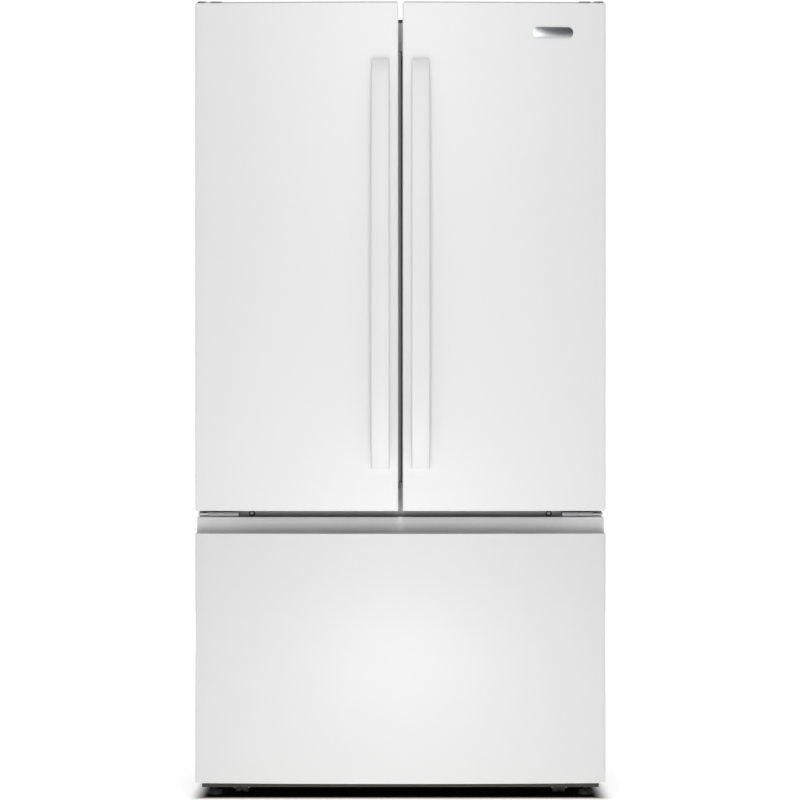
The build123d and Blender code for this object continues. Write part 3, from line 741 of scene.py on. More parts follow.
def anchor(joint: str) -> Vector:
    """Place of a joint's axis, from the record."""
    joints = frame["record"]["behaviour"]["joints"]
    return Vector(next(entry["pos_m"] for entry in joints if entry["name"] == joint))


def polish(node: str, finish: Finish) -> None:
    """Give a CAD node that stays a better material."""
    data = frame["nodes"][node].data
    data.materials.clear()
    data.materials.append(material(finish))
    LOG.info("%s keeps its CAD shape", node)


# ------------------------------------------------------- repeated parts (nodes)
@dataclass(frozen=True)
class Repeat:
    """Rows and columns of one template, laid out by a Geometry Nodes tree."""

    columns: int = 1
    column_step: Point = (0.0, 0.0, 0.0)
    rows: int = 1
    row_step: Point = (0.0, 0.0, 0.0)
    start: Point = (0.0, 0.0, 0.0)
    turn: Point = (0.0, 0.0, 0.0)
    seed: int = 7

    def lay(self, name: str, template: bpy.types.Object, finish: Finish) -> bpy.types.Object:
        """Repeat the template and use it up.

        Args:
            name: the new object's name.
            template: the piece to repeat, modelled about the origin.
            finish: the finish that the tree sets on every copy.

        Returns:
            One plain mesh object.
        """
        tree = bpy.data.node_groups.new(f"{name}_layout", "GeometryNodeTree")
        face = tree.interface
        face.new_socket("Geometry", in_out="OUTPUT", socket_type="NodeSocketGeometry")
        face.new_socket("Geometry", in_out="INPUT", socket_type="NodeSocketGeometry")
        values: dict[str, Any] = {
            "Template": template, "Columns": self.columns, "Column Step": self.column_step,
            "Rows": self.rows, "Row Step": self.row_step, "Start": self.start,
            "Turn": self.turn, "Seed": self.seed, "Finish": material(finish)}
        kinds = {"Template": "Object", "Columns": "Int", "Rows": "Int", "Seed": "Int",
                 "Finish": "Material"}
        sockets = {
            key: face.new_socket(key, in_out="INPUT",
                                 socket_type=f"NodeSocket{kinds.get(key, 'Vector')}")
            for key in values
        }
        self._wire(tree)
        made = mesh_object(name, [(0, 0, 0)], [])
        modifier = made.modifiers.new("layout", "NODES")
        modifier.node_group = tree
        for key, value in values.items():
            modifier[sockets[key].identifier] = value
        made.update_tag()
        settle(made)
        old = template.data
        bpy.data.objects.remove(template)
        bpy.data.meshes.remove(old)
        bpy.data.node_groups.remove(tree)
        return made

    @staticmethod
    def _wire(tree: bpy.types.NodeTree) -> None:
        """Build the tree: a line of columns on a line of rows, one template on each point."""
        def node(kind: str) -> bpy.types.Node:
            """Add one node."""
            return tree.nodes.new(kind)

        given, result = node("NodeGroupInput"), node("NodeGroupOutput")
        rows, columns = node("GeometryNodeMeshLine"), node("GeometryNodeMeshLine")
        spread, flat = node("GeometryNodeInstanceOnPoints"), node("GeometryNodeRealizeInstances")
        scatter, real = node("GeometryNodeInstanceOnPoints"), node("GeometryNodeRealizeInstances")
        info, paint = node("GeometryNodeObjectInfo"), node("GeometryNodeSetMaterial")
        wobble, low = node("FunctionNodeRandomValue"), node("ShaderNodeVectorMath")
        wobble.data_type = "FLOAT_VECTOR"
        low.operation = "SCALE"
        low.inputs["Scale"].default_value = -1.0
        links = (
            (given.outputs["Rows"], rows.inputs["Count"]),
            (given.outputs["Row Step"], rows.inputs["Offset"]),
            (given.outputs["Start"], rows.inputs["Start Location"]),
            (given.outputs["Columns"], columns.inputs["Count"]),
            (given.outputs["Column Step"], columns.inputs["Offset"]),
            (rows.outputs["Mesh"], spread.inputs["Points"]),
            (columns.outputs["Mesh"], spread.inputs["Instance"]),
            (spread.outputs["Instances"], flat.inputs["Geometry"]),
            (flat.outputs["Geometry"], scatter.inputs["Points"]),
            (given.outputs["Template"], info.inputs["Object"]),
            (info.outputs["Geometry"], scatter.inputs["Instance"]),
            (given.outputs["Turn"], low.inputs[0]),
            (low.outputs["Vector"], wobble.inputs["Min"]),
            (given.outputs["Turn"], wobble.inputs["Max"]),
            (given.outputs["Seed"], wobble.inputs["Seed"]),
            (wobble.outputs["Value"], scatter.inputs["Rotation"]),
            (scatter.outputs["Instances"], real.inputs["Geometry"]),
            (real.outputs["Geometry"], paint.inputs["Geometry"]),
            (given.outputs["Finish"], paint.inputs["Material"]),
            (paint.outputs["Geometry"], result.inputs["Geometry"]),
        )
        for source, target in links:
            tree.links.new(source, target)


# ------------------------------------------------------------ the bowed fronts
@dataclass(frozen=True)
class Bow:
    """The one arc, seen from above, that the doors and the drawer front follow."""

    apex: float
    radius: float

    @classmethod
    def measured(cls, node: str) -> "Bow":
        """Fit the arc to a CAD front panel that spans X = 0."""
        low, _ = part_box(node)
        fits: list[float] = []
        for vertex in frame["nodes"][node].data.vertices:
            x, depth = vertex.co.x, vertex.co.y - low.y
            if abs(x) > 0.3 and 0.004 < depth < 0.0135:
                fits.append((x * x + depth * depth) / (2 * depth))
        return cls(low.y, sorted(fits)[len(fits) // 2])

    def y(self, x: float, inset: float = 0.0) -> float:
        """Front face's Y at an X, moved back by an inset."""
        return self.apex + self.radius - math.sqrt((self.radius - inset) ** 2 - x * x)

    def outline(self, low: float, high: float, back: float, inset: float, corner: float) -> list[Pair]:
        """Open outline from the back left, round the front, to the back right.

        Args:
            low: left side's X.
            high: right side's X.
            back: Y where both sides end.
            inset: how far the outline lies inside those limits.
            corner: radius of the two front corners before the inset.

        Returns:
            The outline's (x, y) points.
        """
        left, right = low + inset, high - inset
        radius = max(corner - inset, 0.4 * MM)
        first, last = left + radius, right - radius
        steps = 36
        front = [first + (last - first) * i / steps for i in range(1, steps)]
        return (
            [(left, back)]
            + arc((first, self.y(first, inset) + radius), radius, 180, 270, 6)
            + [(x, self.y(x, inset)) for x in front]
            + arc((last, self.y(last, inset) + radius), radius, 270, 360, 6)
            + [(right, back)]
        )

    def slab(self, name: str, x: Pair, z: Pair, back: float, inset: float, corner: float,
             edge: float) -> bpy.types.Object:
        """Solid slab behind the arc with rounded top and bottom edges, settled.

        Args:
            name: the object's name.
            x: left and right limits.
            z: lower and upper limits.
            back: Y of the flat back.
            inset: how far it lies inside the arc and the sides.
            corner: radius of the upright front corners.
            edge: radius of the top and bottom edges.

        Returns:
            The new object.
        """
        rings = [
            [(px, py, z[0] + along) for px, py in self.outline(*x, back, inset + extra, corner)]
            for along, extra in round_profile(z[1] - z[0], edge)
        ]
        return settle(loft(name, rings))

    def skin(self, name: str, x: Pair, z: Pair, back: float, corner: float, edge: float,
             sheet: float, lap: float) -> bpy.types.Object:
        """Folded sheet over the front, with its top and bottom edges turned in, settled.

        Args:
            name: the object's name.
            x: left and right limits.
            z: lower and upper limits.
            back: Y where both sides end.
            corner: radius of the upright front corners.
            edge: radius of the turned edges.
            sheet: thickness.
            lap: how far the turned edges run in.

        Returns:
            The new object.
        """
        levels = round_profile(z[1] - z[0], edge)
        levels = [(0.0, lap)] + levels + [(z[1] - z[0], lap)]
        rings = [
            [(px, py, z[0] + along) for px, py in self.outline(*x, back, extra, corner)]
            for along, extra in levels
        ]
        return settle(thicken(loft(name, rings, closed=False, caps=False), sheet))


def in_mm(profile: Sequence[Pair]) -> list[Pair]:
    """A profile that is given in millimetres, in metres."""
    return [(across * MM, along * MM) for across, along in profile]


# (mm in from the outer edge, share of the way from the door to the case)
SEAL_PROFILE = (
    (4.0, 0.0), (16.0, 0.0), (16.0, 0.16), (12.6, 0.22), (11.8, 0.3), (15.2, 0.38), (16.4, 0.46),
    (15.2, 0.55), (17.0, 0.62), (19.4, 0.68), (20.0, 0.76), (20.0, 0.93), (19.2, 1.0), (0.8, 1.0),
    (0.0, 0.93), (0.0, 0.76), (0.6, 0.68), (3.0, 0.62), (4.8, 0.55), (3.6, 0.46), (4.8, 0.38),
    (8.2, 0.3), (7.4, 0.22), (4.0, 0.16),
)


def seal(name: str, low: Point, high: Point) -> bpy.types.Object:
    """Extruded magnetic seal with mitred corners, wide at the case and waisted at the door.

    Args:
        name: the object's name.
        low: lowest corner of its box.
        high: highest corner of its box.

    Returns:
        The new object, settled.
    """
    depth = high[1] - low[1]
    rings: list[Ring] = []
    for across, out in SEAL_PROFILE + SEAL_PROFILE[:1]:
        inset, y = across * MM, low[1] + depth * out
        rings.append([
            (low[0] + inset, y, low[2] + inset), (high[0] - inset, y, low[2] + inset),
            (high[0] - inset, y, high[2] - inset), (low[0] + inset, y, high[2] - inset)])
    return settle(loft(name, rings, caps=False), 50.0)


@dataclass(frozen=True)
class DoorSizes:
    """Sizes of an upper door's own details."""

    corner: float = 3.2 * MM
    edge: float = 2.2 * MM
    sheet: float = 0.9 * MM
    lap: float = 8.0 * MM
    cap_reveal: float = 1.4 * MM
    cap_inset: float = 1.8 * MM
    handle_foot: float = 34.0 * MM
    handle_tip: float = 16.0 * MM
    handle_bar: float = 14.0 * MM
    handle_round: float = 2.6 * MM
    handle_slope: float = 9.0 * MM
    badge: Point = (90.0 * MM, 2.0 * MM, 25.0 * MM)
    badge_centre: Pair = (0.337, 1.700)
    rib_pitch: float = 46.0 * MM


class Door:
    """One upper door with everything that swings with it, but for the mullion flap."""

    def __init__(self, side: Side, bow: Bow, sizes: DoorSizes) -> None:
        """Keep the door's side, the shared bow and its sizes."""
        self.side, self.bow, self.sizes = side, bow, sizes
        self.word = side.word
        self.body = f"{self.word}_door"

    def build(self) -> None:
        """Make every piece of the door."""
        self._skin()
        self._caps()
        self._liner()
        self._seal()
        self._handle()
        self._bins()
        polish(f"{self.word}_door_core", FOAM_CREAM)
        if self.side is Side.RIGHT:
            self._badge()

    def _skin(self) -> None:
        """Bowed steel skin, a little short of the end caps."""
        node, s = f"{self.word}_door_panel", self.sizes
        low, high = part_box(node)
        skin = self.bow.skin(
            f"{self.word}_door_skin", (low.x, high.x), (low.z + 0.3 * MM, high.z - s.cap_reveal), high.y,
            s.corner, s.edge, s.sheet, s.lap
        )
        dress(skin, self.body, WHITE_PAINT, [node])

    def _caps(self) -> None:
        """Moulded caps in the door's two ends."""
        node, s = f"{self.word}_end_caps", self.sizes
        low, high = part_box(node)
        spans = ((low.z, low.z + 4 * MM), (high.z - 4 * MM, high.z))
        parts = [
            self.bow.slab("cap", (low.x, high.x), span, high.y, s.cap_inset, s.corner, 0.9 * MM)
            for span in spans
        ]
        dress(join(f"{self.word}_door_caps", parts), self.body, GREY_CAP, [node])

    def _liner(self) -> None:
        """Moulded inner plate with two upright ribs, cross ribs between them and pin lugs."""
        node = f"{self.word}_door_liner"
        low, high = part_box(node)
        panel_low, panel_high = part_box(f"{self.word}_door_core")
        bins_low, bins_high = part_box(f"{self.word}_door_bins")
        back = panel_high.y
        parts = [
            block(
                "plate", (panel_low.x, back, panel_low.z), (panel_high.x, back + 2 * MM, panel_high.z),
                0.8 * MM
            )
        ]
        flap_low, flap_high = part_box("mullion_flap")
        rib_z = (flap_low.z, flap_high.z)
        for inner in (bins_low.x - 30 * MM, bins_high.x):
            parts.append(
                block("dyke", (inner, low.y, rib_z[0]), (inner + 30 * MM, high.y, rib_z[1]), 7 * MM, 5)
            )
        if self.side is Side.LEFT:
            parts.extend(self._lugs(high.y))
        rib = 2 * MM
        spans = self._bin_spans(f"{self.word}_door_bins")
        gaps = [(under[1], over[0]) for under, over in zip(spans, spans[1:] + [(rib_z[1] - 15 * MM, 0)])]
        for bottom, top in gaps:
            rows = int((top - bottom - 0.03) / self.sizes.rib_pitch)
            bar = block(
                "bar", (0, 0, -3 * MM), (bins_high.x - bins_low.x - 40 * MM, 4 * MM, 3 * MM), 1.6 * MM, 2
            )
            start = (bins_low.x + 20 * MM, back + rib, bottom + 0.035)
            parts.append(
                Repeat(
                    rows=rows, row_step=(0, 0, self.sizes.rib_pitch), start=start
                ).lay("bars", bar, LINER_WHITE)
            )
        dress(join(f"{self.word}_door_inner", parts), self.body, LINER_WHITE, [node])

    def _lugs(self, back: float) -> list[bpy.types.Object]:
        """Two lugs that hold the mullion flap's pins."""
        flap_low, flap_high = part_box("mullion_flap")
        middle = (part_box("case_wrapper")[0].y + 11 * MM)
        lugs = []
        for z in (flap_low.z, flap_high.z - 6 * MM):
            lugs.append(
                block(
                    "lug", (-50.5 * MM, middle - 8 * MM, z), (-24 * MM, middle + 8 * MM, z + 6 * MM),
                    1.5 * MM
                )
            )
        return lugs

    def _seal(self) -> None:
        """Magnetic seal round the door's back."""
        node = f"{self.word}_door_gasket"
        low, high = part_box(node)
        dress(seal(f"{self.word}_door_seal", low, high), self.body, SEAL_GREY, [node])

    def _handle(self) -> None:
        """Bowed bar that swells out of the door at both ends."""
        node, s = f"{self.word}_handle", self.sizes
        low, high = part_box(node)
        face, middle, half = high.y, (low.z + high.z) / 2, (high.z - low.z) / 2
        rings: list[Ring] = []
        steps, end_steps = 56, 5
        levels = round_profile(2 * half, s.handle_round, end_steps)
        first, last = levels[end_steps][0], levels[end_steps + 1][0]
        straight = [(first + (last - first) * i / steps, 0.0) for i in range(1, steps)]
        for along, inset in levels[:end_steps + 1] + straight + levels[end_steps + 1:]:
            z = low.z + along
            from_top = max(0.0, 1.0 - (2 * half - along) / s.handle_slope)
            front = self._arc(z - middle, low.y, face - s.handle_tip, half) + inset * 0.8
            front += s.handle_tip * 0.72 * from_top ** 1.5
            back = min(face, self._arc(z - middle, low.y + s.handle_bar, face, half - s.handle_foot))
            outline = rounded_rectangle((low.x + inset, front), (high.x - inset, back), s.handle_round, 5)
            rings.append([(x, y, z) for x, y in outline])
        # Its enamel is a darker copy of the door's white: painted shade.
        dress(
            settle(loft(f"{self.word}_door_handle", rings), 40.0), self.body, HANDLE_SHADED_PAINT,
            [node]
        )

    @staticmethod
    def _arc(offset: float, crown: float, end: float, half: float) -> float:
        """Y on a circular arc with its crown in the middle and a given Y at each end."""
        rise = end - crown
        radius = (half * half + rise * rise) / (2 * rise)
        return crown + radius - math.sqrt(max(radius * radius - offset * offset, 0.0))

    def _bins(self) -> None:
        """Three clear bins, lower along the edge that faces into the case."""
        node = f"{self.word}_door_bins"
        low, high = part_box(node)
        parts = []
        gap = 0.5 * MM
        for floor, rim in self._bin_spans(node):
            parts.append(tray(
                "bin", (low.x + gap, low.y + gap, floor), (high.x - gap, high.y - gap, rim),
                2.4 * MM, 10 * MM, 3 * MM, drop=(rim - floor) * 0.22, rim=Rim.BACK))
        dress(join(f"{self.word}_clear_bins", parts), self.body, CLEAR_BIN, [node])

    @staticmethod
    def _bin_spans(node: str) -> list[Pair]:
        """Floor and rim height of each bin, from the CAD node's own levels."""
        levels = sorted({round(v.co.z, 4) for v in frame["nodes"][node].data.vertices})
        return [(levels[i], levels[i + 2]) for i in range(0, len(levels), 3)]

    def _badge(self) -> None:
        """Plain raised plate, near the door's top."""
        width, depth, height = self.sizes.badge
        x, z = self.sizes.badge_centre
        count = 16
        rings: list[Ring] = []
        for out, inset in (
            (-0.4 * MM, 0.0), (depth - 0.7 * MM, 0.0), (depth - 0.2 * MM, 0.3 * MM), (depth, 0.9 * MM)
        ):
            outline = rounded_rectangle((-width / 2 + inset, -height / 2 + inset),
                                        (width / 2 - inset, height / 2 - inset), height / 2, count)
            rings.append([(x + u, self.bow.y(x + u) - out, z + v) for u, v in outline])
        dress(settle(loft("plain_badge", rings)), self.body, BADGE_METAL)


class MullionFlap:
    """Upright flap on the left door that closes the gap between the two doors."""

    def build(self) -> None:
        """Make the flap with its rounded pivot edge and its pins."""
        low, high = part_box("mullion_flap")
        pin = 7 * MM
        depth = high.y - low.y
        axis = (low.x + depth / 2, (low.y + high.y) / 2)
        outline = arc(axis, depth / 2, 90, 270, 10)
        outline += [(high.x - 2 * MM, low.y), (high.x - 0.6 * MM, low.y + 0.5 * MM), (high.x, low.y + 2 * MM)]
        outline += [(high.x, low.y + 6 * MM), (high.x - 6 * MM, high.y)]
        rings = [
            [(axis[0] + (x - axis[0]) * scale, axis[1] + (y - axis[1]) * scale, z) for x, y in outline]
            for z, scale in ((low.z + pin, 0.93), (low.z + pin + 1 * MM, 1.0),
                             (high.z - pin - 1 * MM, 1.0), (high.z - pin, 0.93))
        ]
        body = settle(loft("flap", rings))
        pins = [lathe("pin", ((2.2 * MM, 0), (3 * MM, 0.8 * MM), (3 * MM, 8 * MM), (2.9 * MM, 8.1 * MM)),
                      (*axis, low.z)),
                lathe("pin", ((2.9 * MM, 0), (3 * MM, 0.1 * MM), (3 * MM, 7.2 * MM), (2.2 * MM, 8 * MM)),
                      (*axis, high.z - 8 * MM))]
        dress(
            join("mullion_flap_body", [body, *pins]), "mullion_flap", FLAP_GREY,
            ["mullion_flap"]
        )
        self._guides(low, high)

    @staticmethod
    def _guides(low: Vector, high: Vector) -> None:
        """Moulded guides in line with the flap's ends: a block above and a fin between the crispers.

        Args:
            low: the flap's lowest corner.
            high: the flap's highest corner.
        """
        liner_low, liner_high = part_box("fresh_food_liner")
        wall, overlap, fin = 2 * MM, 5.5 * MM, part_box("right_crisper")[0].x - 0.8 * MM
        front, back = low.y + 2 * MM, high.y + 18 * MM
        guides = [
            block("guide", (left, front, bottom), (right, back, top), 1.2 * MM)
            for left, right, bottom, top in (
                (-18 * MM, 26 * MM, high.z - overlap, liner_high.z - wall),
                (-fin, fin, liner_low.z + wall, low.z + overlap))
        ]
        dress(join("flap_guides", guides), "cabinet", FLAP_GREY)


# --------------------------------------------------------------------- drawer
class Drawer:
    """Freezer drawer: bowed front, finger scoop, seal, bin and slides."""

    body = "freezer_drawer"
    scoop_run = 0.5      # share of the scoop's depth that its rounded back takes
    scoop_rise = 0.75    # share of its height

    def __init__(self, bow: Bow, sizes: DoorSizes) -> None:
        """Keep the shared bow and the sizes it has in common with the doors."""
        self.bow, self.sizes = bow, sizes

    def build(self) -> None:
        """Make every piece of the drawer."""
        self._skin()
        self._pull()
        low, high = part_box("drawer_gasket")
        dress(seal("drawer_seal", low, high), self.body, SEAL_GREY, ["drawer_gasket"])
        low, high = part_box("drawer_bin")
        bin_ = tray("drawer_tub", low, high, 3 * MM, 18 * MM, 6 * MM, drop=22 * MM)
        dress(bin_, self.body, BASKET_WHITE, ["drawer_bin"])
        low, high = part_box("freezer_basket")
        inner = 12 * MM
        tub = tray(
            "basket_tub", (low.x + inner, low.y, low.z), (high.x - inner, high.y, high.z), 3 * MM,
            14 * MM, 4 * MM, drop=20 * MM
        )
        rims = [
            block(
                "rim", (low.x, low.y, high.z - 4 * MM), (low.x + inner + 1 * MM, high.y, high.z), 1.2 * MM
            ),
            block(
                "rim", (high.x - inner - 1 * MM, low.y, high.z - 4 * MM), (high.x, high.y, high.z),
                1.2 * MM
            )
        ]
        dress(
            join("upper_basket", [tub, *rims]), "freezer_basket", BASKET_WHITE,
            ["freezer_basket"]
        )
        polish("drawer_core", FOAM_CREAM)
        low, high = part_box("drawer_core")
        skin, lap = 0.6 * MM, 0.3 * MM
        plate = block("drawer_back_plate", (low.x - lap, high.y - skin, low.z - lap),
                      (high.x + lap, high.y + skin, high.z + lap), 0.5 * MM)
        dress(plate, self.body, LINER_WHITE)
        for node in ("rail_channels", "rail_middles", "rail_sliders"):
            polish(node, RAIL_STEEL)

    @staticmethod
    def _scoop_floor(lip_z: float) -> float:
        """Level of the scoop's floor, under its lip."""
        return lip_z - 4 * MM

    def _skin(self) -> None:
        """Bowed steel front."""
        s = self.sizes
        low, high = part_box("drawer_panel")
        skin = self.bow.skin(
            "drawer_skin", (low.x, high.x), (low.z, high.z), high.y, s.corner, s.edge, s.sheet, 5 * MM
        )
        dress(skin, self.body, WHITE_PAINT, ["drawer_panel"])

    def _pull(self) -> None:
        """Moulded top with a full-width finger scoop that follows the bow."""
        low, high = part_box("pocket_pull")
        lip_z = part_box("drawer_panel")[1].z
        inset, corner = 1 * MM, self.sizes.corner - 1 * MM
        lip, land, rim = 7 * MM, high.y - 20 * MM, 2 * MM
        front = self.bow.outline(low.x - inset, high.x + inset, high.y, inset + 0.15 * MM, corner)

        def row(z: float, share: float) -> list[Point]:
            """Points across the width, part of the way from the lip's back to the land."""
            starts = [(x, min(y + lip, high.y - 1 * MM)) for x, y in front]
            return [(x, y + max(land - y, 0.0) * share, z) for x, y in starts]

        rows = [[(x, y + back, z) for x, y in front] for z, back in (
            (low.z, 0.0), (lip_z - 1.5 * MM, 0.0), (lip_z - 0.4 * MM, 0.4 * MM), (lip_z, 1.6 * MM))]
        rows += [row(lip_z, 0.0), row(lip_z - 1.5 * MM, 0.02), row(self._scoop_floor(lip_z), 0.1)]
        for i in range(9):
            turn = math.radians(90 * i / 8)
            rise = (high.z - rim - self._scoop_floor(lip_z)) * self.scoop_rise * (1 - math.cos(turn))
            rows.append(row(self._scoop_floor(lip_z) + rise, 1 - self.scoop_run * (1 - math.sin(turn))))
        rows.append(row(high.z - rim, 1.0))
        for back, z in ((land + 0.6 * MM, high.z - 0.6 * MM), (land + rim, high.z),
                        (high.y - 1.2 * MM, high.z), (high.y, high.z - 1.2 * MM), (high.y, low.z)):
            rows.append([(x, back, z) for x, _ in front])
        made = loft("drawer_pull", rows, closed=False, caps=False)
        edit = bmesh.new()
        edit.from_mesh(made.data)
        rim = [edge for edge in edit.edges if edge.is_boundary]
        bmesh.ops.holes_fill(edit, edges=rim, sides=0)
        bmesh.ops.recalc_face_normals(edit, faces=edit.faces)
        edit.to_mesh(made.data)
        edit.free()
        dress(settle(made, 40.0), self.body, WHITE_TRIM, ["pocket_pull"])


# ----------------------------------------------------------------------- case
@dataclass(frozen=True)
class CaseSizes:
    """Sizes of the case's own details."""

    sheet: float = 0.9 * MM
    fold: float = 2.5 * MM
    flange: float = 47.0 * MM
    liner: float = 1.9 * MM
    liner_corner: float = 9.0 * MM
    swage: float = 0.5 * MM
    swages: int = 5
    swage_pitch: float = 0.17
    swage_length: float = 1.15
    swage_lift: float = 0.14
    screws: int = 11
    screw_pitch: float = 139.5 * MM
    screw_column: float = 0.442
    screw_lift: float = 20.0 * MM


class Case:
    """Steel wrapper, insulation, liners, back and base."""

    body = "cabinet"

    def __init__(self, sizes: CaseSizes) -> None:
        """Keep the case's sizes."""
        self.sizes = sizes

    def build(self) -> None:
        """Make every fixed piece of the case."""
        self._wrapper()
        self._back()
        self._liner("fresh_food_liner", self._rests())
        polish("freezer_liner", LINER_WHITE)
        for node in ("side_foam", "back_foam", "level_foam"):
            polish(node, FOAM_CREAM)
        polish("machine_cover", ZINC)
        polish("base_frame", ZINC)
        dress(softened("power_inlet", 0.8 * MM), self.body, DARK_PLASTIC, ["power_inlet"])
        dress(softened("toe_grille", 0.6 * MM), self.body, DARK_PLASTIC, ["toe_grille"])
        dress(softened("centre_rail", 0.3 * MM), self.body, RAIL_PAINT_AND_FLANGE_SHADE, ["centre_rail"])

    def _wrapper(self) -> None:
        """One sheet folded over both sides and the top, with its front edge turned in."""
        s = self.sizes
        low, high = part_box("case_wrapper")

        def section(y: float, inset: float) -> Ring:
            """Open outline of the wrapper at one depth."""
            left, right, top = low.x + inset, high.x - inset, high.z - inset
            corner = max(3 * MM - inset, 0.3 * MM)
            outline = [(left, low.z)]
            outline += arc((left + corner, top - corner), corner, 180, 90, 4)
            outline += arc((right - corner, top - corner), corner, 90, 0, 4)
            outline.append((right, low.z))
            return [(x, y, z) for x, z in outline]

        rings = [section(high.y, 0.0)]
        rings += [section(low.y + along, inset) for along, inset in reversed(round_profile(0.1, s.fold)[:5])]
        rings.append(section(low.y, s.flange))
        skin = settle(thicken(loft("case_skin", rings, closed=False, caps=False), s.sheet))
        dress(skin, self.body, WHITE_PAINT, ["case_wrapper"])
        # The flange's forward faces take the grey rail enamel instead of white: painted shade for the
        # shadowed gap behind the doors.
        skin.data.materials.append(material(RAIL_PAINT_AND_FLANGE_SHADE))
        for face in skin.data.polygons:
            if face.normal.y < -0.99 and face.center.y < low.y + 1 * MM:
                face.material_index = 1
        # A dark strip across the top of the case front, where the gap between the doors is in shade: painted
        # shade.
        shade_strip_low = (low.x + 6 * MM, low.y - 0.6 * MM, high.z - 8 * MM)
        trim = block(
            "case_top_trim", shade_strip_low, (high.x - 6 * MM, low.y + 0.5 * MM, high.z - 0.6 * MM), 0.5 * MM
        )
        dress(trim, self.body, DARK_PLASTIC)

    def _back(self) -> None:
        """Galvanised back sheet with pressed stiffening swages and its screws."""
        low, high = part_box("back_panel")
        s = self.sizes
        face = high.y - s.swage
        sheet = block("sheet", (low.x, low.y, low.z), (high.x, face, high.z), 0.2 * MM, 2)
        swage = block("swage", (-7 * MM, -0.1 * MM, 0), (7 * MM, s.swage, s.swage_length), 0.45 * MM, 2)
        first = -s.swage_pitch * (s.swages - 1) / 2
        layout = Repeat(
            columns=s.swages, column_step=(s.swage_pitch, 0, 0), start=(first, face, low.z + s.swage_lift)
        )
        swages = layout.lay("swages", swage, ZINC)
        dress(join("back_sheet", [sheet, swages]), self.body, ZINC, ["back_panel"])
        heads = []
        for side in Side:
            head = lathe(
                "head", ((4 * MM, 0), (4 * MM, 0.25 * MM), (2.5 * MM, 0.45 * MM), (0.4 * MM, 0.3 * MM)),
                (0, 0, 0), 1, 14
            )
            start = (side.value * s.screw_column, face, low.z + s.screw_lift)
            column = Repeat(rows=s.screws, row_step=(0, 0, s.screw_pitch), start=start)
            heads.append(column.lay("heads", head, SCREW_STEEL))
        dress(join("back_screws", heads), self.body, SCREW_STEEL)

    def _liner(self, node: str, extras: list[bpy.types.Object]) -> None:
        """Moulded liner with round corners, open at the front."""
        low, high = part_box(node)
        s = self.sizes
        rings: list[Ring] = []
        corner = s.liner_corner + s.liner

        def section(y: float, inset: float) -> Ring:
            """Outline of the liner at one depth."""
            outline = rounded_rectangle(
                (low.x + inset, low.z + inset), (high.x - inset, high.z - inset), corner, 5
            )
            return [(x, y, z) for x, z in outline]

        rings.append(section(low.y, 0.0))
        for i in range(1, 9):
            rings.append(section(low.y + (high.y - low.y - corner) * i / 8, 0.0))
        for i in range(1, 6):
            turn = math.radians(90 * i / 5)
            rings.append(section(high.y - corner * (1 - math.sin(turn)), corner * (1 - math.cos(turn))))
        shell = loft("shell", rings, caps=False)
        edit = bmesh.new()
        edit.from_mesh(shell.data)
        back = [v for v in edit.verts if abs(v.co.y - high.y) < 1e-6]
        bmesh.ops.contextual_create(edit, geom=back)
        bmesh.ops.recalc_face_normals(edit, faces=edit.faces)
        edit.to_mesh(shell.data)
        edit.free()
        shell = settle(thicken(shell, s.liner))
        dress(join("fresh_food_shell", [shell, *extras]), self.body, LINER_WHITE, [node])

    @staticmethod
    def _rests() -> list[bpy.types.Object]:
        """Ledges that the crisper lid rests on."""
        lid_low, lid_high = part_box("crisper_lid")
        low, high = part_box("fresh_food_liner")
        depth = 12 * MM
        return [
            block(
                "rest", (x, lid_low.y, lid_low.z - 8 * MM), (x + depth, lid_high.y, lid_low.z - 0.2 * MM),
                1.5 * MM
            )
            for x in (low.x + 1.5 * MM, high.x - depth - 1.5 * MM)
        ]


class Feet:
    """Levelling feet and the four rollers."""

    def build(self) -> None:
        """Make the feet and both pairs of rollers."""
        low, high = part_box("levelling_feet")
        radius = (high.y - low.y) / 2
        feet = []
        profile: list[Pair] = [
            (radius - 2 * MM, 0), (radius - 0.4 * MM, 0.6 * MM), (radius, 2 * MM), (radius, 7 * MM),
            (radius - 2 * MM, 9 * MM), (8 * MM, 10.5 * MM), (5.5 * MM, 11 * MM)
        ]
        z = 12 * MM
        while z < high.z - 2 * MM:
            profile += [(4.6 * MM, z), (5.4 * MM, z + 0.8 * MM)]
            z += 1.6 * MM
        profile.append((4.4 * MM, high.z))
        for x in (low.x + radius, high.x - radius):
            feet.append(lathe("foot", profile, (x, (low.y + high.y) / 2, 0.0), 2, 28))
        dress(join("screw_feet", feet), "cabinet", DARK_PLASTIC, ["levelling_feet"])
        for node in ("front_rollers", "rear_rollers"):
            self._rollers(node)

    @staticmethod
    def _rollers(node: str) -> None:
        """A pair of grooved rollers on their axis."""
        low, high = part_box(node)
        radius, width = (high.z - low.z) / 2, 28 * MM
        centre = ((low.y + high.y) / 2, (low.z + high.z) / 2)
        bore = 4.1 * MM
        profile = [
            (bore, 0), (9 * MM, 0), (10 * MM, 1 * MM), (radius - 4 * MM, 1 * MM), (radius - 3 * MM, 0),
            (radius - 1 * MM, 0.3 * MM), (radius, 1.3 * MM), (radius, 10.6 * MM),
            (radius - 2 * MM, 11.4 * MM)
        ]
        profile += [(r, width - along) for r, along in reversed(profile)]
        wheels = [
            lathe("wheel", profile + profile[:1], (x, *centre), 0, 40)
            for x in (low.x, high.x - width)
        ]
        dress(join(f"{node}_turned", wheels), node, NYLON, [node])


class Facing(Enum):
    """Which way a screw head looks."""

    FORWARD = "forward"
    UP = "up"


# (radius, height) in mm
SCREW_PROFILE = (
    (0.2, 1.0), (2.4, 1.0), (2.5, 2.4), (3.0, 2.55), (4.0, 2.2), (4.85, 1.1), (5.0, 0.3), (5.0, 0.0)
)
WASHER_PROFILE = ((4.6, 0), (4.6, 1.2), (6.2, 1.4), (6.8, 0.6), (6.8, 0))


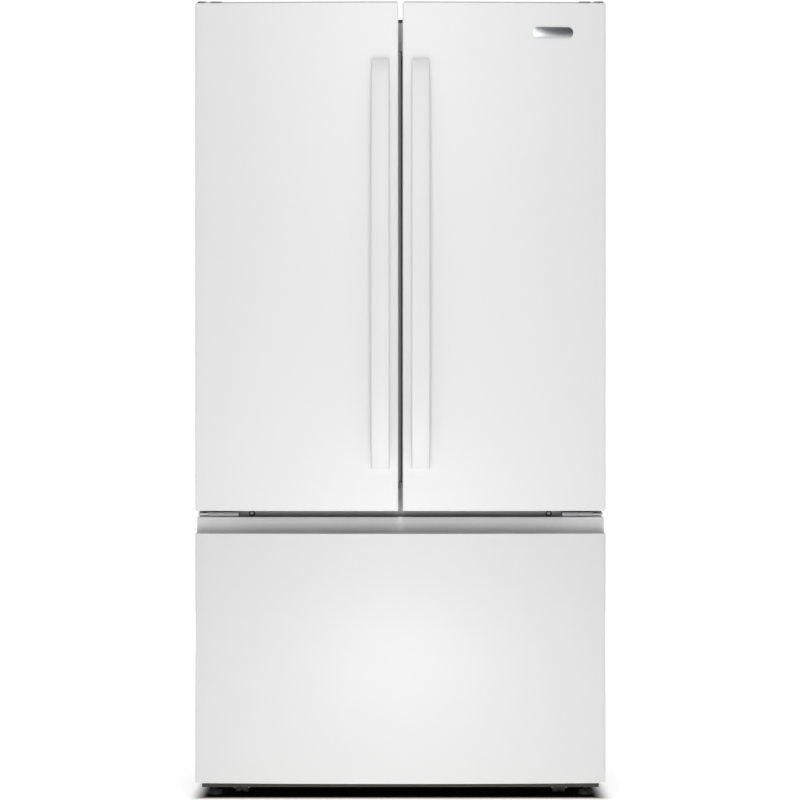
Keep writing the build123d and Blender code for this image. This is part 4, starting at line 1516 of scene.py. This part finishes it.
@dataclass(frozen=True)
class HingeSizes:
    """Places of the hinge screws and the moulded lips, and the size of a screw's socket."""

    plate_inset: float = 64.0 * MM
    plate_pitch: float = 44.0 * MM
    plate_mirror: float = 84.0 * MM
    plate_level: float = 5.5 * MM
    plate_sheet: float = 3.0 * MM
    rail_pitch: float = 0.664
    rail_start: float = -0.332
    rail_lift: float = 6.5 * MM
    top_in: float = 40.0 * MM
    top_pitch: Pair = (28.0 * MM, 38.0 * MM)
    turn: float = 0.9
    socket: float = 2.7 * MM
    socket_fill: float = 0.92
    lip_level: float = 13.0 * MM
    lips: tuple[Pair, ...] = ((0.427, 0.3985), (0.397, 0.359))


class Hinges:
    """Hinges, their covers and their screws."""

    sizes = HingeSizes()

    def build(self) -> None:
        """Make the hinges and set the screws out from the hinge plates."""
        for node in ("top_hinges", "centre_hinges"):
            dress(softened(node, 0.7 * MM), "cabinet", HINGE_STEEL, [node])
        dress(softened("hinge_covers", 0.5 * MM), "cabinet", GREY_CAP, ["hinge_covers"])
        self._lips()
        case_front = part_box("case_wrapper")[0].y
        s = self.sizes
        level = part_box("centre_hinges")[0].z + s.plate_level
        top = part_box("case_wrapper")[1].z + s.plate_sheet
        hinge_x = anchor("right_door_hinge").x
        rows = (
            Repeat(
                2, (s.plate_pitch, 0, 0), 2, (s.plate_mirror - 2 * hinge_x, 0, 0),
                (hinge_x - s.plate_inset, case_front - s.plate_sheet, level), (0, s.turn, 0)
            ),
            Repeat(
                2, (s.rail_pitch, 0, 0), start=(s.rail_start, case_front, level + s.rail_lift),
                turn=(0, s.turn, 0)
            )
        )
        heads = [
            layout.lay(f"rail_heads_{i}", self._screw(Facing.FORWARD), SCREW_STEEL)
            for i, layout in enumerate(rows)
        ]
        for side in (-1, 1):
            start = (side * hinge_x, case_front + s.top_in, top)
            across, along = s.top_pitch
            layout = Repeat(2, (-side * across, 0, 0), 2, (0, along, 0), start, (0, 0, s.turn))
            heads.append(layout.lay(f"top_heads_{side + 1}", self._screw(Facing.UP), SCREW_STEEL))
        dress(join("hinge_screw_heads", heads), "cabinet", SCREW_STEEL, ["hinge_screws"])
        ring = lathe("washer", in_mm(WASHER_PROFILE), (0, 0, 0), 2, 28)
        for vertex in ring.data.vertices:
            x, y, z = vertex.co
            vertex.co = (x, -z, y)
        dress(rows[1].lay("rail_washers", ring, DARK_PLASTIC), "cabinet", DARK_PLASTIC)

    def _lips(self) -> None:
        """Moulded strips over the front edges of the centre hinge plates, each in two parts."""
        low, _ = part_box("centre_hinges")
        level = low.z + self.sizes.lip_level
        strips = []
        for side in (-1, 1):
            for outer, inner in self.sizes.lips:
                left, right = sorted((side * outer, side * inner))
                strips.append(block(
                    "lip", (left, low.y - 2.2 * MM, level - 4.2 * MM),
                    (right, low.y + 0.6 * MM, level + 3.8 * MM), 0.8 * MM
                ))
        dress(join("hinge_lips", strips), "cabinet", LIP_GREY)

    def _screw(self, facing: Facing) -> bpy.types.Object:
        """Domed head with a six-sided socket, facing -Y or +Z."""
        head = lathe("head", in_mm(SCREW_PROFILE), (0, 0, 0), 2, 24)
        for vertex in head.data.vertices:
            x, y, z = vertex.co
            radius = math.hypot(x, y)
            if 1e-4 < radius < self.sizes.socket:
                swell = 1.0 / math.cos((math.atan2(y, x) % (math.pi / 3)) - math.pi / 6)
                x, y = x * swell * self.sizes.socket_fill, y * swell * self.sizes.socket_fill
            vertex.co = (x, -z, y) if facing is Facing.FORWARD else (x, y, z)
        return head


# ----------------------------------------------------------------- fresh food
class FreshFood:
    """Shelves, crispers and controls of the upper compartment."""

    def build(self) -> None:
        """Make every fitting."""
        polish("shelf_tracks", TRACK_STEEL)
        polish("shelf_brackets", TRACK_STEEL)
        self._shelves()
        self._lid()
        for word in ("left", "right"):
            self._crisper(word)
        self._controls()

    @staticmethod
    def _shelves() -> None:
        """Half-width panes, each held by a moulded trim at its front and back."""
        low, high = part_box("glass_shelves")
        glass, lip = 5 * MM, 9 * MM
        levels = (high.z, low.z + glass)
        panes, trims = [], []
        for level in levels:
            for left, right in ((low.x, -8 * MM), (8 * MM, high.x)):
                panes.append(
                    block(
                        "pane", (left + 1 * MM, low.y + 4 * MM, level - glass),
                        (right - 1 * MM, high.y - 3 * MM, level), 1.2 * MM
                    )
                )
                for front, back in ((low.y, low.y + lip), (high.y - lip, high.y)):
                    trims.append(
                        block(
                            "trim", (left, front, level - glass - 6 * MM), (right, back, level + 2 * MM),
                            2.2 * MM
                        )
                    )
        dress(join("shelf_panes", panes), "cabinet", SHELF_GLASS, ["glass_shelves"])
        dress(join("shelf_trims", trims), "cabinet", LINER_WHITE)

    @staticmethod
    def _lid() -> None:
        """Glass cover over the crispers with a moulded front edge."""
        low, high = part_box("crisper_lid")
        lid = block("crisper_cover", (low.x, low.y + 4 * MM, low.z), (high.x, high.y, high.z), 1.4 * MM)
        dress(lid, "cabinet", SHELF_GLASS, ["crisper_lid"])
        trim = block(
            "crisper_trim", (low.x, low.y, low.z - 2 * MM), (high.x, low.y + 10 * MM, high.z + 1.5 * MM),
            2 * MM
        )
        dress(trim, "cabinet", LINER_WHITE)

    @staticmethod
    def _crisper(word: str) -> None:
        """Clear drawer with a full grip across its front."""
        node = f"{word}_crisper"
        low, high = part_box(node)
        grip = 14 * MM
        tub = tray("tub", (low.x, low.y + grip, low.z), (high.x, high.y, high.z), 2.4 * MM, 16 * MM, 3 * MM)
        bar = block(
            "grip", (low.x + 55 * MM, low.y, high.z - 26 * MM),
            (high.x - 55 * MM, low.y + grip + 1 * MM, high.z - 18 * MM), 3.2 * MM, 4
        )
        dress(join(f"{word}_clear_crisper", [tub, bar]), node, CLEAR_BIN, [node])

    @staticmethod
    def _controls() -> None:
        """Control housing, its two buttons and its lamp lens."""
        dress(
            softened("control_panel", 1.2 * MM, 3), "cabinet", LINER_WHITE,
            ["control_panel"]
        )
        low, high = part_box("control_panel")
        lens_low = (-69.5 * MM, low.y + 40.5 * MM, low.z + 1 * MM)
        lens = block("lens", lens_low, (69.5 * MM, low.y + 139.5 * MM, low.z + 4 * MM), 0.9 * MM)
        bar = block("bar", (0, 0, -1 * MM), (139 * MM, 3 * MM, 0.5 * MM), 0.6 * MM, 2)
        bars = Repeat(
            rows=19, row_step=(0, 5 * MM, 0),
            start=(lens_low[0] + 0.2 * MM, lens_low[1] + 3 * MM, lens_low[2] + 0.5 * MM)
        ).lay("bars", bar, LENS_WHITE)
        dress(join("lamp_cover", [lens, bars]), "cabinet", LENS_WHITE)
        for node in ("colder_button", "warmer_button"):
            low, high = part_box(node)
            dress(
                block(f"{node}_cap", tuple(low), tuple(high), 1.3 * MM, 4), node, BUTTON_GREY,
                [node]
            )


# ------------------------------------------------------------------ machinery
def serpentine(x: Pair, lanes: Sequence[Pair], reach: float) -> list[Point]:
    """Path of one tube that runs to and fro along X with a bend between lanes.

    Args:
        x: left and right ends of the straight runs.
        lanes: (y, z) of each run, in order.
        reach: how far each bend stands out past a run's end.

    Returns:
        The path's points.
    """
    path: list[Point] = []
    for number, (y, z) in enumerate(lanes):
        ends = (x[0], x[1]) if number % 2 == 0 else (x[1], x[0])
        path += [(ends[0] + (ends[1] - ends[0]) * i / 4, y, z) for i in range(5)]
        if number + 1 < len(lanes):
            next_y, next_z = lanes[number + 1]
            outward = 1 if ends[1] > ends[0] else -1
            for i in range(1, 12):
                turn = math.pi * i / 12
                share = (1 - math.cos(turn)) / 2
                path.append(
                    (
                        ends[1] + outward * reach * math.sin(turn), y + (next_y - y) * share,
                        z + (next_z - z) * share
                    )
                )
    return path


@dataclass(frozen=True)
class BladeSizes:
    """Shape of one fan blade: lengths in mm, pitch and untwist in degrees, sweep in radians."""

    stations: int = 8
    points: int = 7
    root_chord: float = 20.0
    swell: float = 14.0
    fullest: float = 0.62
    pitch: float = 40.0
    untwist: float = 16.0
    half_thickness: float = 0.9
    edge: float = 0.25
    camber: float = 0.22
    sweep: float = 0.22
    flatten: float = 0.9


def fan(name: str, node: str, place: Callable[[float, float, float], Point], radius: float, depth: float,
        blades: int = 7) -> None:
    """Axial fan with twisted, cambered blades on a bored hub.

    Args:
        name: the object's name.
        node: the CAD node and body that it stands for.
        place: maps a point about +Z at the origin into the frame.
        radius: tip radius.
        depth: hub length.
        blades: number of blades.
    """
    b = BladeSizes()
    hub_radius, bore = 16 * MM, 3.1 * MM
    sunk, tip_gap = 1 * MM, 0.5 * MM
    profile = [(bore, 0), (14.4 * MM, 0), (hub_radius, 1.4 * MM), (hub_radius, depth - 4 * MM),
               (14.6 * MM, depth - 1.4 * MM), (11 * MM, depth), (bore, depth), (bore, 0)]
    parts = [lathe("hub", profile, (0, 0, 0), 2, 36)]
    for number in range(blades):
        start = 2 * math.pi * number / blades
        rings: list[Ring] = []
        for step in range(b.stations + 1):
            share = step / b.stations
            r = hub_radius - sunk + (radius - tip_gap - hub_radius + sunk) * share
            chord = (b.root_chord + b.swell * math.sin(share * math.pi * b.fullest)) * MM
            pitch = math.radians(b.pitch - b.untwist * share)
            ring: Ring = []
            for side in (1, -1):
                for i in range(b.points + 1) if side > 0 else range(b.points, -1, -1):
                    t = i / b.points - 0.5
                    bulge = math.sqrt(max(0.0, 1 - (2 * t) ** 2))
                    thick = side * (b.edge + (1 - b.edge) * bulge) * b.half_thickness * MM
                    camber = (0.25 - t * t) * chord * b.camber
                    along, rise = t * chord, camber + thick
                    tangent = along * math.cos(pitch) - rise * math.sin(pitch)
                    height = along * math.sin(pitch) + rise * math.cos(pitch)
                    angle = start + tangent / max(r, hub_radius) + share * b.sweep
                    ring.append((r * math.cos(angle), r * math.sin(angle), depth / 2 + height * b.flatten))
            rings.append(ring)
        parts.append(settle(loft("blade", rings)))
    made = join(name, parts)
    for vertex in made.data.vertices:
        vertex.co = place(*vertex.co)
    dress(made, node, FAN_PLASTIC, [node])


# (radius, height) in mm, from the bottom up
SHELL_PROFILE = (
    (20, 3), (60, 5), (72, 14), (78, 30), (79, 46), (79, 70), (82, 71), (82, 77), (79.5, 78),
    (79, 100), (76, 120), (68, 136), (52, 146), (28, 150), (6, 150.5)
)
GROMMET_PROFILE = ((6, 0), (10.6, 0.3), (11, 3), (8, 5), (8, 7), (11, 9), (10, 12), (5, 12))
STUB_PROFILE = ((6.5, 0), (6.5, 10), (5, 11), (5, 46), (3.4, 50))


@dataclass(frozen=True)
class CompressorSizes:
    """Places on the compressor: across from the middle of its box, up from its base.

    The base is lift over the bottom of the box.
    """

    lift: float = 8.0 * MM
    plate: Pair = (2.5 * MM, 5.5 * MM)
    case_x: Pair = (62.0 * MM, 96.0 * MM)
    case_half: float = 26.0 * MM
    case_z: Pair = (40.0 * MM, 95.0 * MM)
    grommet_x: float = 85.0 * MM
    grommet_y: float = 65.0 * MM
    stub_x: float = 40.0 * MM
    stub_foot: float = 142.0 * MM


class Machinery:
    """Evaporator, condenser, compressor and both fans."""

    def build(self) -> None:
        """Make every piece of the cooling circuit."""
        polish("fan_motors", FAN_PLASTIC)
        dress(
            softened("evaporator_cover", 0.5 * MM), "cabinet", LINER_WHITE,
            ["evaporator_cover"]
        )
        cold, warm = anchor("evaporator_fan_spin"), anchor("condenser_fan_spin")
        low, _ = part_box("evaporator_fan")
        fan("cold_fan", "evaporator_fan", lambda x, y, z: (x, low.y + z, cold.z - y), 51.5 * MM, 18 * MM)
        _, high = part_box("condenser_fan")
        fan(
            "warm_fan", "condenser_fan", lambda x, y, z: (high.x - z, warm.y + y, warm.z + x), 70 * MM,
            22 * MM
        )
        self._evaporator()
        self._condenser()
        self._compressor()
        low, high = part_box("drain_pan")
        dress(
            tray("drip_tray", low, high, 1.8 * MM, 6 * MM, 2 * MM), "cabinet", DARK_PLASTIC,
            ["drain_pan"]
        )

    @staticmethod
    def _coil(
        name: str, node: str, x: Pair, low: Point, high: Point, fins: int, lanes: Sequence[Pair],
        reach: float, extras: list[bpy.types.Object]
    ) -> None:
        """Finned block on one serpentine tube."""
        pitch = (x[1] - x[0]) / (fins - 1)
        fin = block("fin", (-0.3 * MM, 0, 0), (0.3 * MM, high[1] - low[1], high[2] - low[2]), 0.2 * MM, 1)
        layout = Repeat(
            columns=fins, column_step=(pitch, 0, 0), start=(x[0], low[1], low[2]), turn=(0, 0, 0.004)
        )
        plates = layout.lay("fins", fin, FIN_ALUMINIUM)
        pipe = tube("pipe", serpentine(x, lanes, reach), 3.8 * MM, 14)
        dress(join(name, [plates, pipe, *extras]), "cabinet", FIN_ALUMINIUM, [node])

    def _evaporator(self) -> None:
        """Wide finned coil behind its cover."""
        low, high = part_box("evaporator")
        rows = (low.z + 16 * MM, (low.z + high.z) / 2, high.z - 16 * MM)
        front, back = low.y + 11 * MM, high.y - 11 * MM
        lanes = [(front, z) for z in rows] + [(back, z) for z in reversed(rows)]
        span = (low.x + 12 * MM, high.x - 12 * MM)
        self._coil("cold_coil", "evaporator", span, tuple(low), tuple(high), 76, lanes, 8 * MM, [])

    def _condenser(self) -> None:
        """Finned block beside its fan, on two feet."""
        low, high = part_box("condenser")
        block_low = (low.x + 10 * MM, low.y, low.z + 12 * MM)
        rows = (block_low[2] + 20 * MM, (block_low[2] + high.z) / 2, high.z - 20 * MM)
        front, back = low.y + 20 * MM, high.y - 20 * MM
        lanes = [(front, z) for z in rows] + [(back, z) for z in reversed(rows)]
        span = (low.x + 10 * MM, high.x - 10 * MM)
        feet = [block("foot", (x, low.y, low.z), (x + 4 * MM, high.y, block_low[2] + 26 * MM), 0.8 * MM)
                for x in (low.x + 2 * MM, high.x - 6 * MM)]
        feet.append(
            block(
                "base", (low.x + 2 * MM, low.y, low.z), (high.x - 2 * MM, high.y, low.z + 2 * MM),
                0.6 * MM
            )
        )
        self._coil("warm_coil", "condenser", span, block_low, tuple(high), 46, lanes, 6 * MM, feet)

    @staticmethod
    def _compressor() -> None:
        """Two-part welded shell on a pressed plate and rubber grommets, with copper stubs."""
        s = CompressorSizes()
        low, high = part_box("compressor")
        x, y, base = (low.x + high.x) / 2, (low.y + high.y) / 2, low.z + s.lift
        dome = lathe("dome", in_mm(SHELL_PROFILE), (x, y, base), 2, 56)
        plate = block(
            "plate", (low.x, low.y, base + s.plate[0]), (high.x, high.y, base + s.plate[1]), 1.2 * MM
        )
        case = block(
            "case", (x + s.case_x[0], y - s.case_half, base + s.case_z[0]),
            (x + s.case_x[1], y + s.case_half, base + s.case_z[1]), 4 * MM, 4
        )
        dress(
            join("compressor_shell", [dome, plate, case]), "cabinet", COMPRESSOR_BLACK,
            ["compressor"]
        )
        feet = [
            lathe("grommet", in_mm(GROMMET_PROFILE), (x + dx, y + dy, low.z), 2, 20)
            for dx in (-s.grommet_x, s.grommet_x) for dy in (-s.grommet_y, s.grommet_y)
        ]
        dress(join("compressor_grommets", feet), "cabinet", GROMMET_BLACK)
        tip = (STUB_PROFILE[-1][0] * MM, high.z - base - s.stub_foot)
        stub = lathe(
            "stub", [*in_mm(STUB_PROFILE), tip], (x - s.stub_x, y, base + s.stub_foot), 2, 20
        )
        dress(stub, "cabinet", COPPER)


# --------------------------------------------------------------------- studio
@dataclass(frozen=True)
class Softbox:
    """One rectangular soft lamp, which the camera doesn't see."""

    name: str
    place: Point
    target: Point
    width: float
    height: float
    power: float

    def hang(self) -> None:
        """Add the lamp."""
        light = bpy.data.lights.new(self.name, "AREA")
        light.shape, light.size, light.size_y, light.energy = "RECTANGLE", self.width, self.height, self.power
        lamp = bpy.data.objects.new(self.name, light)
        lamp.location = self.place
        lamp.visible_camera = False
        bpy.context.scene.collection.objects.link(lamp)
        aim(lamp, self.target)


def aim(thing: bpy.types.Object, target: Point) -> None:
    """Turn a lamp or camera towards a point."""
    thing.rotation_euler = (Vector(target) - thing.location).to_track_quat("-Z", "Y").to_euler()


LAMPS = (
    Softbox("far_front", (0.0, -4.6, 3.1), (0.0, -0.4, 1.1), 0.8, 3.4, 2.5),
    Softbox("strip_top", (0.0, -1.7, 2.1), (0.0, 0.0, 2.0), 0.3, 1.1, 5.0),
    Softbox("strip_middle", (0.0, -1.7, 1.2), (0.0, 0.0, 1.2), 0.3, 0.8, 1.8),
    Softbox("strip_low", (0.0, -1.7, 0.22), (0.0, 0.0, 0.22), 0.3, 0.4, 3.7),
    Softbox("overhead", (0.0, -0.6, 4.2), (0.0, 0.0, 0.0), 4.0, 3.5, 62.0),
    Softbox("back", (0.0, 4.5, 2.6), (0.0, 0.4, 0.9), 3.0, 3.0, 60.0),
)


@dataclass(frozen=True)
class Studio:
    """Plain pale floor, white surroundings, soft lamps and the camera."""

    distance: float = 6.0
    height: float = 0.888
    lens: float = 122.3
    world: float = 0.03
    contact: float = 0.025
    glow: float = 1.05
    near_glow: float = 0.62
    floor_reach: float = 25.0

    def build(self) -> None:
        """Set the stage."""
        self._floor()
        self._world()
        for lamp in LAMPS:
            lamp.hang()
        self._camera()
        bpy.context.scene.view_settings.view_transform = "Standard"

    def _floor(self) -> None:
        """Pale, faintly lit matt floor, painted near black under the cabinet: a painted shadow."""
        graph = Graph("studio_floor")
        mottle = graph.noise(3.0, 2.0)
        outside_painted_shadow = self._open_floor(graph)
        pale = graph.blend(mottle, grey(0.93), grey(0.95))
        # Base colour and glow fall to near black under the cabinet: a painted shadow.
        floor_paint = graph.close(
            Base_Color=graph.add(
                "ShaderNodeMix", {"data_type": "RGBA"},
                {0: outside_painted_shadow, 6: (0.004, 0.004, 0.004, 1.0), 7: pale}, output=2
            ),
            Emission_Color=graph.add(
                "ShaderNodeMix", {"data_type": "RGBA"},
                {
                    0: outside_painted_shadow * self._far_floor(graph), 6: (0.0, 0.0, 0.0, 1.0),
                    7: (1.0, 1.0, 1.0, 1.0)
                },
                output=2
            ),
            Emission_Strength=self.glow, Roughness=mottle * 0.1 + 0.8, Specular_IOR_Level=0.1
        )
        reach = self.floor_reach
        corners = [(-reach, -reach, 0), (reach, -reach, 0), (reach, reach, 0), (-reach, reach, 0)]
        floor = mesh_object("studio_floor", corners, [(0, 1, 2, 3)])
        floor.data.materials.append(floor_paint)

    def _open_floor(self, graph: Graph) -> Sock:
        """Mask of the painted shadow: 0 under the cabinet, where the floor is painted near black without
        glow, 1 a little way out from it.

        Args:
            graph: the floor's material.

        Returns:
            The value.
        """
        low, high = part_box("case_wrapper")
        place = graph.add("ShaderNodeTexCoord", output="Object")
        split = graph.add("ShaderNodeSeparateXYZ", inputs={0: place})
        depth = Sock(graph, split.output.node.outputs["Y"])
        middle = (low.y + high.y) / 2
        beyond_x = split.abs() - high.x
        beyond_y = (depth - middle).abs() - (high.y - low.y) / 2 - self.contact
        beyond = beyond_x.max(beyond_y)
        return graph.add("ShaderNodeMapRange", {"interpolation_type": "SMOOTHSTEP"}, {
            "Value": beyond, "From Min": -0.02, "From Max": self.contact, "To Min": 0.0, "To Max": 1.0})

    def _far_floor(self, graph: Graph) -> Sock:
        """Share of the floor's glow: part of it by the cabinet, all of it further out.

        Args:
            graph: the floor's material.

        Returns:
            The value.
        """
        place = graph.add("ShaderNodeTexCoord", output="Object")
        distance = graph.add("ShaderNodeVectorMath", {"operation": "LENGTH"}, {0: place}, output="Value")
        return graph.add("ShaderNodeMapRange", {"interpolation_type": "SMOOTHSTEP"}, {
            "Value": distance, "From Min": 1.0, "From Max": 6.0, "To Min": self.near_glow, "To Max": 1.0})

    def _world(self) -> None:
        """Even pale surroundings, dim as a light and white to look at."""
        world = bpy.data.worlds.new("studio_world")
        world.use_nodes = True
        nodes, links = world.node_tree.nodes, world.node_tree.links
        path, strength = nodes.new("ShaderNodeLightPath"), nodes.new("ShaderNodeMapRange")
        strength.inputs["To Min"].default_value = self.world
        strength.inputs["To Max"].default_value = 1.05
        links.new(path.outputs["Is Camera Ray"], strength.inputs["Value"])
        nodes["Background"].inputs["Color"].default_value = (1, 1, 1, 1)
        links.new(strength.outputs["Result"], nodes["Background"].inputs["Strength"])
        bpy.context.scene.world = world

    def _camera(self) -> None:
        """Level camera on the middle of the doors."""
        data = bpy.data.cameras.new("camera")
        data.lens, data.sensor_width = self.lens, 36.0
        camera = bpy.data.objects.new("camera", data)
        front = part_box("drawer_panel")[0].y
        camera.location = (-0.001, front - self.distance, self.height)
        bpy.context.scene.collection.objects.link(camera)
        aim(camera, (-0.001, front, self.height))
        bpy.context.scene.camera = camera


def main() -> None:
    """Build the refrigerator, then the studio."""
    logging.basicConfig(level=logging.INFO, format="%(name)s: %(message)s")
    bow = Bow.measured("drawer_panel")
    sizes = DoorSizes()
    Case(CaseSizes()).build()
    Feet().build()
    Hinges().build()
    for side in Side:
        Door(side, bow, sizes).build()
    MullionFlap().build()
    Drawer(bow, sizes).build()
    FreshFood().build()
    Machinery().build()
    Studio().build()


if __name__ == "__main__":
    main()
